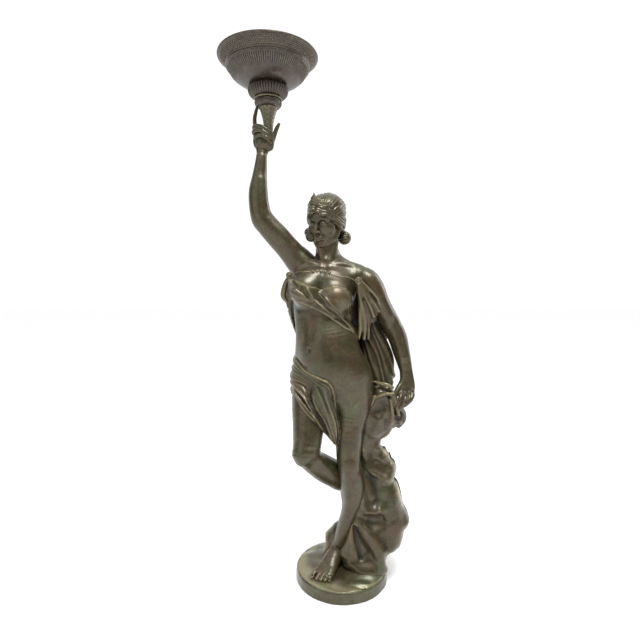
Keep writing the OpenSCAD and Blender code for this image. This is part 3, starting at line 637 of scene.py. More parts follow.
for k in range(5):
    # five toes side by side across the ball of the foot, the first the largest and on the inside
    size = leg["toe"] * (1.32, 1.0, 0.96, 0.9, 0.8)[k]
    across = (-31, -10.5, 5.5, 20.5, 34)[k]
    reach = (34, 33, 29, 23, 15)[k]
    root = (-70 + across * 0.81, -88 - across * 0.59)
    ahead = (-0.59, -0.81)
    knuckle = (root[0] + 12 * ahead[0], root[1] + 12 * ahead[1])
    tip = (root[0] + reach * ahead[0], root[1] + reach * ahead[1])
    mid = (root[0] + (reach - 9) * ahead[0], root[1] + (reach - 9) * ahead[1])
    addStroke(legBlock, [[root[0], root[1], 62, size * 0.95], [knuckle[0], knuckle[1], 64, size],
                         [mid[0], mid[1], 60, size * 0.86], [tip[0], tip[1], 55, size * 0.92]], 3.5, 3)
    cutBall(legBlock, (tip[0] - 1.5, tip[1] - 3, 62.5), (size * 0.5, size * 0.45, 2.2), 1.5, 36)
    if k < 4:
        addStroke(legBlock, [[knuckle[0] + 30 * 0.59, knuckle[1] + 30 * 0.81, 78, 3],
                             [knuckle[0] + 8, knuckle[1] + 8, 70, 3]], 8)
standingLeg = castPiece("standingLeg", legBlock)

bentBlock = makeBlock((-220, -170, 176), (176, 156, 800), 0.0028)
addLimb(bentBlock, [r[:3] + [r[3] - 1, r[4] - 1] + r[5:] for r in thighRows], 20)
addLimb(bentBlock, shankRows, 26)
addBall(bentBlock, (-150, -110, 530), (34, 32, 34), 26)
addBall(bentBlock, (-14, 40, 390), (46, 40, 44), 30, 50)
addLimb(bentBlock, [[98, 78, 320, 26, 28, 50], [114, 94, 282, 30, 32, 50], [126, 108, 242, 34, 22, 50],
                    [134, 118, 208, 34, 14, 50]], 14)
bentBlock["d"] = np.maximum(bentBlock["d"], slantOf(bentBlock, 780, 1.2, -184))
bentLeg = castPiece("bentLeg", bentBlock)


# Arms and hands

arm = {"step": 0.0026, "hand": 0.0013}
liftedRows = [[-120, 24, 1196, 60, 54, 0], [-168, 24, 1250, 54, 52, 0], [-211, 18, 1294, 44, 46, 0],
              [-250, 8, 1338, 43, 43, 0], [-284, 2, 1376, 41, 42, 0], [-308, -1, 1414, 40, 42, 0],
              [-319, -2, 1462, 37, 39, 0], [-321, -2, 1512, 34, 35, 0], [-316, -2, 1552, 29, 31, 0],
              [-310, -2, 1600, 24, 24, 0], [-306, -2, 1636, 20.5, 20, 0], [-304, 0, 1656, 17, 16, 0]]
raisedBlock = makeBlock((-380, -70, 1130), (-70, 90, 1665), arm["step"])
addLimb(raisedBlock, liftedRows, 18)
addBall(raisedBlock, (-310, 12, 1402), (26, 26, 30), 26)
addStroke(raisedBlock, [[-190, -2, 1302, 20], [-236, -8, 1350, 22], [-280, -10, 1394, 18]], 26)
addStroke(raisedBlock, [[-300, -16, 1430, 14], [-304, -18, 1480, 16], [-306, -14, 1540, 12]], 24)
addBall(raisedBlock, (-318, 4, 1640), (7, 8, 10), 10)
raisedArm = castPiece("raisedArm", raisedBlock)

holdBlock = makeBlock((-352, -52, 1616), (-226, 48, 1828), arm["hand"])
addLimb(holdBlock, [[-306, -2, 1632, 15, 15, 0], [-305, 0, 1648, 20.5, 18.5, 0], [-303, 4, 1664, 25, 18, 0],
                    [-302, 10, 1692, 33, 15, 0], [-302, 14, 1716, 35, 13, 0],
                    [-302, 15, 1734, 30, 10, 0]], 6, 4, 8)
addBall(holdBlock, (-272, 2, 1684), (13, 15, 24), 9)
addBall(holdBlock, (-300, -6, 1688), (28, 19, 26), 8)
addBall(holdBlock, (-330, 6, 1700), (9, 12, 26), 8)
addStroke(holdBlock, [[-324, 10, 1732, 9.5], [-330, 2, 1752, 8.2], [-331, -2, 1776, 7.4],
                      [-327, -4, 1796, 6.8], [-322, -6, 1813, 5.6]], 5, 3)
addStroke(holdBlock, [[-326, 14, 1736, 9], [-333, -6, 1742, 8.2], [-320, -22, 1742, 8.4],
                      [-298, -28, 1736, 7.8], [-278, -26, 1724, 7.4], [-263, -19, 1712, 6.4]], 3, 3)
addStroke(holdBlock, [[-326, 12, 1718, 9], [-334, -8, 1724, 8.4], [-320, -24, 1726, 8.6],
                      [-298, -31, 1720, 8.2], [-278, -28, 1708, 7.6], [-262, -20, 1696, 6.6]], 3, 3)
addStroke(holdBlock, [[-324, 10, 1700, 8.5], [-328, -10, 1706, 7.8], [-314, -25, 1708, 8.0],
                      [-296, -30, 1704, 7.4], [-280, -27, 1694, 7.0], [-270, -20, 1684, 6.0]], 3, 3)
addStroke(holdBlock, [[-280, 4, 1672, 12], [-266, 5, 1700, 10.5], [-256, 3, 1724, 8.6],
                      [-248, 0, 1742, 7.6], [-240, -2, 1756, 5.6]], 6, 3)
cutBall(holdBlock, (-237, -8, 1756), (3.6, 2.2, 5.4), 1.5)
cutBall(holdBlock, (-321, -12, 1812), (3.6, 2.0, 5.4), 1.5)
for start, end in (((-332, -14, 1733), (-300, -38, 1728)), ((-300, -38, 1728), (-262, -26, 1704)),
                   ((-330, -16, 1716), (-300, -38, 1712)), ((-300, -38, 1712), (-268, -26, 1690))):
    cutStroke(holdBlock, [[*start, 1.0], [*end, 1.0]], 2, 3)
torchHand = castPiece("torchHand", holdBlock)

hangingRows = [[54, 8, 1200, 32, 40, 0], [90, 8, 1176, 46, 50, 0], [118, 9, 1140, 45, 50, 0],
               [138, 12, 1096, 42, 46, 0], [166, 20, 1046, 39, 42, 0], [194, 26, 998, 38, 40, 0],
               [217, 26, 952, 37, 38, 0], [230, 14, 900, 33, 35, 0], [240, 0, 856, 28, 30, 0],
               [246, -8, 826, 24.5, 24, 0], [248, -12, 804, 20, 18, 0]]
loweredBlock = makeBlock((20, -90, 790), (300, 90, 1262), arm["step"])
addLimb(loweredBlock, hangingRows, 18)
addStroke(loweredBlock, [[100, -20, 1172, 20], [132, -18, 1106, 22], [168, -8, 1040, 18]], 26)
addStroke(loweredBlock, [[208, 6, 980, 16], [222, -4, 930, 17], [236, -12, 880, 12]], 22)
addBall(loweredBlock, (224, 52, 972), (14, 14, 20), 16)
addBall(loweredBlock, (262, -14, 822), (7, 8, 10), 8)
loweredArm = castPiece("loweredArm", loweredBlock)

gatherBlock = makeBlock((186, -76, 672), (300, 30, 862), arm["hand"])
addLimb(gatherBlock, [[244, -6, 846, 19, 19, 0], [246, -10, 824, 24.5, 22, 0], [249, -15, 796, 27, 20, 0],
                      [249, -19, 768, 31, 19, 0], [245, -24, 744, 31, 16, 0],
                      [240, -28, 730, 26, 12, 0]], 6, 4, 8)
for k, rows in enumerate((
        [[264, -28, 752, 9], [266, -44, 738, 8.4], [258, -54, 722, 8], [247, -54, 708, 7]],
        [[252, -34, 744, 9.5], [252, -52, 728, 9], [243, -60, 711, 8.4], [231, -57, 698, 7.2]],
        [[238, -34, 740, 9.5], [236, -54, 722, 9], [227, -60, 704, 8.4], [217, -56, 690, 7]],
        [[225, -32, 748, 9], [219, -52, 730, 8.4], [212, -57, 712, 7.8], [206, -54, 697, 6.6]])):
    addStroke(gatherBlock, rows, 3, 3)
addStroke(gatherBlock, [[228, -22, 776, 12], [212, -34, 760, 10], [202, -44, 742, 8.6], [199, -48, 724, 7]],
          7, 3)
for rows in (([258, -56, 738], [250, -66, 716], [238, -64, 700]),
             ([244, -58, 734], [235, -68, 712], [224, -64, 694]),
             ([230, -56, 736], [220, -66, 716], [212, -62, 700])):
    cutStroke(gatherBlock, [[*p, 1.1] for p in rows], 2.5, 3)
for p in ((266, -40, 752), (252, -46, 744), (237, -48, 740)):
    addBall(gatherBlock, p, (6, 5, 7), 6)
gatheringHand = castPiece("gatheringHand", gatherBlock)


# Head: sculpted upright round its own centre, then bowed and turned into place

head = {"centre": (-64, 4, 1404), "turn": -30, "bow": 15, "step": 0.0015}
bow, turn = math.radians(head["bow"]), math.radians(head["turn"])
bowMatrix = np.array([[1, 0, 0], [0, math.cos(bow), -math.sin(bow)], [0, math.sin(bow), math.cos(bow)]])
turnMatrix = np.array([[math.cos(turn), -math.sin(turn), 0], [math.sin(turn), math.cos(turn), 0],
                       [0, 0, 1]])
headMatrix = turnMatrix @ bowMatrix


def intoHead(point):
    # a place on the lamp as the upright head sees it
    return tuple(headMatrix.T @ (np.array(point, float) - head["centre"]))


def fromHead(piece):
    # turns and moves a piece from the upright head to its place on the lamp
    co = np.zeros(len(piece.data.vertices) * 3, np.float32)
    piece.data.vertices.foreach_get("co", co)
    placed = co.reshape(-1, 3) @ headMatrix.T + np.array(head["centre"]) / 1000
    piece.data.vertices.foreach_set("co", placed.astype(np.float32).ravel())
    piece.data.update()
    return piece


faceBlock = makeBlock((-104, -112, -150), (104, 112, 112), head["step"])
addBall(faceBlock, (0, 10, 24), (62, 76, 64), 4)
addBall(faceBlock, (0, -24, -30), (51, 47, 66), 16)
addBall(faceBlock, (0, -34, -68), (36, 34, 28), 16)
addBall(faceBlock, (0, -38, 20), (47, 34, 36), 18)
addBall(faceBlock, (0, -62, -88), (13, 12, 11), 12)
for s in (-1, 1):
    addBall(faceBlock, (s * 35, -44, -28), (18, 18, 20), 16)
    addStroke(faceBlock, [[s * 48, -2, -42, 12], [s * 42, -24, -68, 11], [s * 22, -50, -86, 9]], 16)
addStroke(faceBlock, [[-38, -56, 6, 6], [-22, -67, 9, 6], [0, -69, 5, 5], [22, -67, 9, 6], [38, -56, 6, 6]],
          10)
for s in (-1, 1):
    cutBall(faceBlock, (s * 22, -76, -8), (17, 12, 9.5), 8, s * 16)
    addBall(faceBlock, (s * 22, -58, -9), (13, 12.5, 11.5), 2)
addStroke(faceBlock, [[0, -68, 6, 5.5], [0, -76, -10, 6.2], [0, -84, -24, 6.6], [0, -88, -33, 7.2]], 6, 3)
for s in (-1, 1):
    addBall(faceBlock, (s * 7.5, -79, -36), (6.2, 8.5, 6.0), 4)
    cutBall(faceBlock, (s * 5, -82, -42), (3.0, 4.4, 2.4), 2)
addBall(faceBlock, (0, -66, -60), (20, 12, 14), 12)
addStroke(faceBlock, [[-17, -68, -60.5, 2.0], [-8, -76.5, -57.5, 3.4], [0, -78, -59, 3.2],
                      [8, -76.5, -57.5, 3.4], [17, -68, -60.5, 2.0]], 3, 2)
addStroke(faceBlock, [[-14, -69, -64.5, 2.2], [-5, -77, -66.5, 4.2], [5, -77, -66.5, 4.2],
                      [14, -69, -64.5, 2.2]], 3, 2)
cutStroke(faceBlock, [[-18, -71, -61.5, 0.7], [-6, -81, -62, 0.8], [0, -82, -62.6, 0.9], [6, -81, -62, 0.8],
                      [18, -71, -61.5, 0.7]], 2, 2)
cutStroke(faceBlock, [[0, -88, -46, 1.2], [0, -82, -53, 1.6]], 4, 2)
cutStroke(faceBlock, [[-12, -74, -75, 2], [0, -77, -76, 3], [12, -74, -75, 2]], 7, 2)
for s in (-1, 1):
    addStroke(faceBlock, [[s * 34, -61, -11, 1.3], [s * 28, -68.5, -4.5, 1.9], [s * 20, -71.6, -2.8, 2.1],
                          [s * 11, -69.5, -9.5, 1.4]], 2, 2)
    addStroke(faceBlock, [[s * 33, -61.5, -12.5, 1.0], [s * 25, -68.6, -15.6, 1.3],
                          [s * 17, -69.8, -15.0, 1.3], [s * 11, -68.8, -10.5, 1.0]], 2, 2)
    addStroke(faceBlock, [[s * 39, -56, 6, 1.2], [s * 28, -67, 11, 1.8], [s * 14, -72.4, 10, 1.8],
                          [s * 8, -72.2, 6, 1.4]], 4, 2)
    cutBall(faceBlock, (s * 21.4, -71.6, -8.6), (2.4, 2.0, 2.4), 1.5)
face = faceBlock["d"].copy()

# the crown of hair, combed in fine strands back from a parting, with a waved roll over the brow
hair = makeBlock((-104, -112, -150), (104, 112, 112), head["step"])
addBall(hair, (0, 16, 28), (70, 78, 66), 4)
hx, hy, hz = hair["x"] * 1000, hair["y"] * 1000, hair["z"] * 1000
comb = np.arctan2(hx, hz + 16 + 0 * hy)
fine = np.abs(np.sin(21 * comb + 0.05 * hy + 0.7 * np.sin(0.055 * hy + 5 * comb)))
broad = np.abs(np.sin(7 * comb + 0.9 * np.sin(0.04 * hy + 3 * comb)))
hair["d"] -= ((2.0 * fine + 2.6 * broad) / 1000).astype(np.float32)
hairline = insideOf(hx[:, :, 0] + 0 * hz[:, 0, :], hz[:, 0, :] + 0 * hx[:, :, 0],
                    [(-50, -150), (-52, -20), (-48, 8), (-34, 26), (-4, 34), (30, 28), (46, 8), (52, -20),
                     (50, -150)])
hair["d"] = np.maximum(hair["d"], np.where(hy < -6, -hairline[:, None, :] / 1000, -0.02))
hair["d"] = np.maximum(hair["d"], (-46 - hz) / 1000)
for s in (-1, 1):
    for k in range(4):
        # locks of the front roll: from the parting, over the temple and back above the ear
        swing = 2.6 * math.sin(1.9 * k + s)
        addStroke(hair, [[s * 1.5, -77 + 4 * k, 36 + 7 * k, 4.0],
                         [s * 12, -79 + 4.5 * k, 36 + 8 * k + swing, 5.6],
                         [s * 25, -73 + 4.5 * k, 27 + 9 * k - swing, 6.4],
                         [s * 38, -62 + 5 * k, 20 + 9.5 * k + swing, 6.4],
                         [s * 49, -46 + 5 * k, 8 + 10 * k - swing, 6.8],
                         [s * 58, -28 + 5 * k, -4 + 10 * k + swing, 7.0],
                         [s * 64, -8 + 5 * k, -18 + 9 * k - swing, 7.0],
                         [s * 64, 14 + 5 * k, -30 + 8 * k, 7.0],
                         [s * 54, 38 + 4 * k, -40 + 7 * k, 6.4],
                         [s * 34, 60 + 2 * k, -46 + 6 * k, 5.6]], 1.2, 4)
    for k in range(3):
        addStroke(hair, [[s * 53, -34 + 7 * k, -10 - 5 * k, 5.0], [s * 60, -16 + 7 * k, -26 - 5 * k, 6.4],
                         [s * 58, 6 + 7 * k, -42 - 4 * k, 6.6], [s * 42, 32 + 6 * k, -52 - 2 * k, 6.2],
                         [s * 22, 52 + 4 * k, -56, 5.5]], 1.2, 4)


def coil(centre, radius, thick, rings, lean):
    # a rolled knot of hair: strands laid round a ball, each in its own leaning plane
    c = np.array(centre, float)
    addBall(hair, centre, (radius * 0.72, radius * 0.76, radius * 0.72), 2)
    for k in range(rings):
        tilt = lean + math.pi * k / rings
        a = np.linspace(0, 2 * math.pi, 13)
        circle = np.stack([np.cos(a) * radius * 0.84, np.sin(a) * math.cos(tilt) * radius * 0.84,
                           np.sin(a) * math.sin(tilt) * radius * 0.84], 1)
        addStroke(hair, [[*(c + q), thick] for q in circle], 0.6, 3)


coil(intoHead((9, 34, 1337)), 26, 4.6, 7, 0.4)
coil(intoHead((-4, 40, 1352)), 20, 4.6, 6, 0.9)
coil(intoHead((-120, 4, 1340)), 21, 4.4, 7, 1.0)
coil(intoHead((-128, 14, 1356)), 17, 4.4, 6, 0.3)
coil(intoHead((-34, 66, 1352)), 30, 7.0, 6, 0.7)
faceBlock["d"] = np.minimum(face, hair["d"])
neckTop, neckLow = intoHead((-60, 10, 1330)), intoHead((-60, 13, 1276))
addLimb(faceBlock, [[*intoHead((-62, 2, 1352)), 38, 40, 0], [*neckTop, 40, 41, 0], [*neckLow, 40, 41, 0]],
        12)
headPiece = fromHead(castPiece("head", faceBlock, 1.2, 1))
print("head sculpted")

crown = {"height": 34, "half": 44, "thick": 3.2}
crownBlock = makeBlock((-64, -110, 30), (64, 10, 112), 0.0011)
tx, ty, tz = crownBlock["x"] * 1000, crownBlock["y"] * 1000, crownBlock["z"] * 1000
bend = np.sqrt((tx / 58) ** 2 + ((ty - 4) / 68) ** 2) - 1
plate = np.abs(bend) * 58 - crown["thick"] / 2
rise = 60 + 0.35 * (-ty - 40) + 0 * tx
peak = (rise + crown["height"] * np.clip(1 - np.abs(tx) / crown["half"], 0, 1) ** 1.35 +
        3.0 * np.cos(tx * 0.42))
crownBlock["d"] = (np.maximum(np.maximum(plate, tz - peak),
                              np.maximum(rise - 7 - tz, ty + 8)) / 1000).astype(np.float32)
band = np.maximum(np.abs(bend) * 58 - 3.4, np.abs(tz - rise - 1) - 3.2) / 1000
crownBlock["d"] = np.minimum(crownBlock["d"], np.maximum(band, (ty + 8) / 1000).astype(np.float32))
for s in (-1, 0, 1):
    addBall(crownBlock, (s * 21, -62 + 4 * abs(s), 76 - 4 * abs(s)), (4.2, 4, 4.2), 1)
addStroke(crownBlock, [[-30, -56, 72, 1.6], [-14, -66, 82, 1.6], [0, -70, 96, 1.6], [14, -66, 82, 1.6],
                       [30, -56, 72, 1.6]], 1, 3)
tiara = fromHead(castPiece("tiara", crownBlock, 1.0, 1))


# The mantle: behind the body, over the left arm, and gathered down to the ground

mantle = {"step": 0.003, "folds": 11, "cord": 0.86}
capeRows = [[-66, 62, 1184, 148, 22, 6], [-66, 80, 1120, 162, 26, 6], [-58, 90, 1056, 160, 28, 8],
            [-36, 92, 990, 160, 28, 10], [0, 90, 924, 176, 30, 10], [38, 84, 860, 172, 32, 5],
            [88, 70, 796, 140, 34, 0], [130, 50, 736, 108, 36, 0]]
capeBlock = makeBlock((-262, -110, 700), (252, 150, 1224), mantle["step"])
addLimb(capeBlock, capeRows, 6, 12, 20, (mantle["folds"], 0.035, 26))
addLimb(capeBlock, [[100, 30, 1090, 26, 24, 0], [104, 32, 1020, 28, 26, 0], [118, 34, 960, 44, 28, 0],
                    [136, 32, 900, 56, 30, 0], [150, 24, 850, 58, 30, 0], [152, 8, 800, 50, 28, 0],
                    [150, -4, 760, 44, 26, 0]], 14)
mx, mz = planeOf(capeBlock)
fan = (foldsBetween(mx, mz, [(60, 1040), (60, 970), (88, 870), (112, 790)],
                    [(112, 1040), (128, 990), (176, 900), (206, 800)], 4, 5.6, 1.4) *
       np.clip((1060 - mz) / 60, 0, 1))
pressRelief(capeBlock, fan, 24, -1, 40)
backFolds = foldsBetween(mx, mz, [(-240, 1180), (-230, 1000), (-120, 800)],
                         [(90, 1180), (150, 1000), (230, 800)], 12, 12.0, 0.9)
pressRelief(capeBlock, backFolds, 96, 1, 40)
for rows in ([[60, -62, 1164, 6], [88, -58, 1124, 7], [116, -50, 1086, 7.5], [136, -34, 1056, 7]],
             [[56, -60, 1166, 6], [78, -60, 1118, 7], [100, -54, 1076, 8], [116, -40, 1036, 8]],
             [[66, -60, 1168, 5], [98, -56, 1138, 6], [128, -46, 1104, 6], [142, -32, 1074, 6]],
             [[54, -58, 1160, 5], [66, -58, 1100, 6.5], [76, -48, 1056, 8], [84, -34, 1004, 9],
              [82, -18, 950, 9]],
             [[56, -56, 1156, 5], [62, -52, 1096, 6], [64, -42, 1040, 7], [66, -34, 990, 8],
              [62, -30, 952, 6]],
             [[78, -48, 1090, 6], [92, -38, 1040, 8], [98, -20, 1000, 9], [100, 0, 950, 9]]):
    addStroke(capeBlock, [p[:3] + [p[3] * mantle["cord"]] for p in rows], 11)
addLimb(capeBlock, [[70, -40, 1150, 18, 12, 0], [92, -36, 1100, 34, 14, -10], [108, -26, 1056, 30, 16, -10],
                    [106, -8, 1020, 22, 18, 0]], 10)
for rows in ([[-222, 30, 1150, 8], [-238, 40, 1112, 11], [-228, 50, 1070, 10], [-214, 56, 1020, 9],
              [-194, 62, 968, 8]],
             [[-196, 20, 1100, 8], [-204, 34, 1050, 9], [-194, 50, 1000, 8]],
             [[-182, 40, 1010, 7], [-184, 54, 960, 8], [-176, 66, 900, 7]]):
    addStroke(capeBlock, rows, 10)
hollow = limbDistance(capeBlock, [r[:3] + [r[3] - 6, r[4] - 6] + r[5:] for r in trunkRows[1:9]], 10)
capeBlock["d"] = np.maximum(capeBlock["d"], -hollow)
wantedEdge = np.interp(capeBlock["z"] * 1000, [720, 800, 880, 960, 1020, 1080, 1120, 1180],
                       [-40, -100, -176, -196, -214, -232, -240, -224])
capeBlock["d"] = np.maximum(capeBlock["d"], (wantedEdge / 1000 - capeBlock["x"]).astype(np.float32))
mantleUpper = castPiece("mantleUpper", capeBlock)


train = {"step": 0.0028, "edge": 46}
trainOutline = [(124, 784), (150, 780), (182, 772), (206, 742), (212, 706), (216, 677), (233, 664),
                (244, 640), (241, 613), (222, 598), (200, 587), (192, 567), (177, 553), (160, 543),
                (157, 524), (167, 509), (187, 494), (196, 465), (213, 447), (219, 424), (215, 400),
                (207, 388), (223, 367), (235, 330), (245, 289), (255, 260), (271, 231), (268, 212),
                (251, 189), (245, 164), (235, 135), (211, 114), (186, 100), (176, 81), (170, 50),
                (60, 44), (0, 60), (-20, 110), (0, 180), (20, 260), (40, 360), (50, 460), (46, 560),
                (56, 640), (84, 690), (110, 740)]
trainBlock = makeBlock((-66, -120, 40), (286, 152, 800), train["step"])
inflate(trainBlock, trainOutline, train["edge"], ([40, 100, 200, 300, 400, 500, 600, 700, 800],
                                                  [10, 20, 26, 30, 36, 40, 26, 4, -6]),
        ([40, 100, 200, 300, 400, 500, 600, 700, 800], [104, 98, 92, 84, 70, 56, 56, 48, 28]))
gx, gz = planeOf(trainBlock)
drapes = (ridges(gx, gz, [
    ([(72, 560), (92, 450), (140, 420), (179, 400), (206, 372), (235, 316)], 15, 11),
    ([(79, 500), (86, 457), (104, 417), (122, 380), (131, 335), (124, 298)], 15, -12),
    ([(64, 480), (70, 400), (74, 330), (80, 285)], 12, 7),
    ([(160, 380), (176, 330), (172, 280), (160, 240)], 24, 8),
    ([(84, 290), (104, 284), (130, 288), (150, 300)], 12, 8),
    ([(92, 262), (128, 250), (166, 260)], 22, -7),
    ([(72, 244), (98, 216), (126, 184), (146, 154), (166, 120)], 15, 11),
    ([(60, 236), (66, 190), (84, 150), (104, 116)], 14, -7),
    ([(180, 250), (200, 210), (196, 160), (178, 120)], 18, 6),
    ([(214, 320), (238, 270), (246, 220), (236, 170)], 16, -5),
    ([(100, 560), (130, 600), (150, 645), (186, 690)], 18, 8),
    ([(120, 540), (160, 570), (196, 610), (222, 640)], 14, -7),
    ([(110, 520), (150, 510), (186, 480), (206, 440)], 16, 7),
    ([(120, 480), (160, 462), (196, 430)], 10, -5),
    ([(140, 690), (160, 640), (170, 590)], 14, -6)]) +
          2.2 * np.sin(gx * 0.075 + 1.4 * np.sin(gz * 0.021)) *
          np.sin(gz * 0.034 + 0.8 * np.sin(gx * 0.05)))
pressRelief(trainBlock, drapes, 20, -1, 60)
behind = (foldsBetween(gx, gz, [(60, 760), (20, 500), (0, 300), (-10, 60)],
                       [(220, 760), (200, 500), (240, 300), (230, 60)], 6, 14.0, 0.9))
pressRelief(trainBlock, behind, 30, 1, 60)
for rows in ([[122, -24, 784, 5], [146, -34, 779, 7], [168, -42, 776, 7], [190, -46, 766, 6]],
             [[118, -34, 724, 7], [138, -44, 732, 8], [162, -50, 745, 8], [186, -52, 738, 7],
              [204, -50, 716, 7]],
             [[192, -50, 744, 6], [200, -52, 712, 7], [208, -46, 682, 7], [216, -34, 652, 7],
              [226, -16, 622, 6]],
             [[206, -50, 716, 6], [220, -40, 690, 8], [236, -20, 662, 10], [240, -4, 630, 10],
              [222, 0, 604, 9]],
             [[180, -52, 720, 6], [186, -50, 690, 7], [190, -40, 660, 8], [188, -28, 630, 7]],
             [[120, -40, 730, 5], [114, -38, 700, 7], [100, -30, 672, 7], [84, -30, 640, 6]]):
    addStroke(trainBlock, rows, 10)
cutBall(trainBlock, (150, -50, 758), (28, 20, 8), 9)
cutBall(trainBlock, (150, -56, 700), (22, 26, 22), 18)
cutBall(trainBlock, (132, -52, 676), (26, 24, 26), 18)
cutBall(trainBlock, (216, -34, 640), (12, 12, 14), 8)
cutBall(trainBlock, (128, -70, 250), (36, 16, 20), 34, 0, -20)
cutStroke(trainBlock, [[48, -52, 222, 6], [56, -64, 184, 10], [66, -70, 146, 10], [72, -72, 112, 5]], 18)
addBall(trainBlock, (-34, 44, 104), (42, 44, 58), 24)
addBall(trainBlock, (-8, 30, 150), (36, 40, 52), 26)
addBall(trainBlock, (100, -52, 64), (72, 52, 24), 40)
addStroke(trainBlock, [[70, -52, 240, 8], [88, -60, 208, 12], [110, -68, 172, 14], [132, -74, 134, 13],
                       [148, -74, 96, 11], [158, -66, 62, 8]], 26)
addStroke(trainBlock, [[96, -44, 300, 7], [120, -48, 286, 10], [146, -46, 292, 9], [170, -36, 312, 7]], 22)
addStroke(trainBlock, [[60, -40, 470, 7], [70, -46, 400, 9], [74, -48, 330, 9], [84, -46, 286, 7]], 20)
addBall(trainBlock, (226, 20, 236), (38, 54, 40), 22)
mantleLower = castPiece("mantleLower", trainBlock)


# Cord, brooch and clasps

cord = {"radius": 2.3}
cordLine = [(-198, 1186), (-180, 1197), (-160, 1203), (-130, 1202), (-108, 1202), (-82, 1201), (-52, 1198),
            (-30, 1188), (18, 1182), (44, 1171), (57, 1168)]
cordBlock = makeBlock((-230, -125, 1146), (90, 0, 1226), 0.0014)
addStroke(cordBlock, onFace(skin, -1, cordLine, cord["radius"], 1.2), 0, 4)
breastCord = castPiece("breastCord", cordBlock, 1, 1)

broochBlock = makeBlock((-130, -130, 1180), (-36, -40, 1224), 0.0009)
middle = onFace(skin, -1, [(-112, 1202), (-97, 1203), (-82, 1202), (-67, 1200), (-51, 1197)], 1.0, 2.0)
for k, size in enumerate((6.4, 7.2, 8.6, 7.2, 6.4)):
    spot = middle[min(k * len(middle) // 4, len(middle) - 1)]
    addBall(broochBlock, spot[:3], (size, 4.2, size * 0.95), 1.5)
    addBall(broochBlock, (spot[0], spot[1] - 4.5, spot[2]), (size * 0.42, 2.4, size * 0.42), 0.8)
    cutBall(broochBlock, (spot[0] + 4.5, spot[1] - 5, spot[2] + 4), (1.6, 2, 1.6), 0.8)
    cutBall(broochBlock, (spot[0] - 4.5, spot[1] - 5, spot[2] - 4), (1.6, 2, 1.6), 0.8)
brooch = castPiece("brooch", broochBlock, 1, 1)

claspBlock = makeBlock((-226, -100, 1150), (86, 10, 1214), 0.0012)
for spot in ((-200, -48, 1190), (56, -66, 1169)):
    addBall(claspBlock, spot, (12, 7, 12), 1.5)
    addStroke(claspBlock, [[spot[0] + 11 * math.cos(a), spot[1] - 5, spot[2] + 11 * math.sin(a), 2.2]
                           for a in np.linspace(0, 2 * math.pi, 13)], 1, 3)
    addBall(claspBlock, (spot[0], spot[1] - 7, spot[2]), (5, 3.6, 5), 1)
shoulderClasps = castPiece("shoulderClasps", claspBlock, 1, 1)


# Round base with its modelled ground

base = {"radius": 178.6, "height": 43, "wall": 5}
plinthProfile = denser([[2, base["height"] - base["wall"]],
                        [base["radius"] - base["wall"], base["height"] - base["wall"]],
                        [base["radius"] - base["wall"], 0.2], [base["radius"] - 0.8, 0.2],
                        [base["radius"], 1.2], [base["radius"] - 0.4, 20], [base["radius"] - 1.2, 38],
                        [base["radius"] - 3, 42], [base["radius"] - 5.5, base["height"]],
                        [2, base["height"]]], 3.0)
handWork = lambda angle, run, p: (0.35 * np.sin(9 * angle + run * 0.05) +
                                  0.25 * np.sin(23 * angle + 2 * np.sin(5 * angle)) + 0 * run)
plinth = spunPiece("plinth", plinthProfile, (0, 0, 0), 360, handWork)

groundBlock = makeBlock((-184, -184, 36), (184, 184, 158), 0.0024)
nx, ny = groundBlock["x"][:, 0, 0][:, None] * 1000, groundBlock["y"][0, :, 0][None, :] * 1000
out = np.sqrt(nx ** 2 + ny ** 2)
swellUp = (45 + 12 * np.clip(1 - (out / 176) ** 2, 0, 1) +
           62 * np.exp(-((nx - 84) / 66) ** 2 - ((ny - 46) / 80) ** 2))
swellUp += 54 * np.exp(-((nx + 36) / 30) ** 2 - ((ny - 56) / 34) ** 2)
swellUp += 16 * np.exp(-((nx - 92) / 52) ** 2 - ((ny + 96) / 26) ** 2)
swellUp += 2.2 * np.sin(nx * 0.05 + 1.2 * np.sin(ny * 0.04)) + 1.0 * np.sin(ny * 0.09 + nx * 0.03)
swellUp += 6 * np.exp(-((nx - 74) / 44) ** 2 - ((ny + 128 + 0.1 * nx) / 12) ** 2)
swellUp -= 5 * np.exp(-((nx - 90) / 46) ** 2 - ((ny + 146 + 0.1 * nx) / 7) ** 2)
rim = np.clip((174 - out) / 14, 0, 1)
top = 43.5 + (swellUp - 43.5) * np.sqrt(1 - (1 - rim) ** 2)
groundBlock["d"] = np.maximum((groundBlock["z"] * 1000 - top[:, :, None]) * 0.8,
                              np.maximum(out[:, :, None] - 174,
                                         41 - groundBlock["z"] * 1000)).astype(np.float32) / 1000
groundCasting = castPiece("groundCasting", groundBlock)


# Torch, knop and bowl

torchAxis = (-0.280, 0, 0)
bowl = {"flutes": 112, "fluteDepth": 2.6, "diamonds": 120, "diamondDepth": 2.0, "gadroons": 44,
        "gadroonDepth": 4.4}


def fluteRelief(angle, run, p):
    # narrow hollow flutes with rounded tops, fading into the plain lower bowl
    z = p[..., 1]
    wave = np.abs(np.sin(bowl["flutes"] * angle / 2))
    share = np.clip((z - 1913) / 16, 0, 1)
    crown = np.clip((bowlTop - 5 + 3.2 * np.sqrt(np.clip(1 - (1 - wave) ** 2, 0, 1)) - z) / 2.0, 0, 1)
    return outerMask * bowl["fluteDepth"] * (wave ** 0.7 - 1) * share * crown


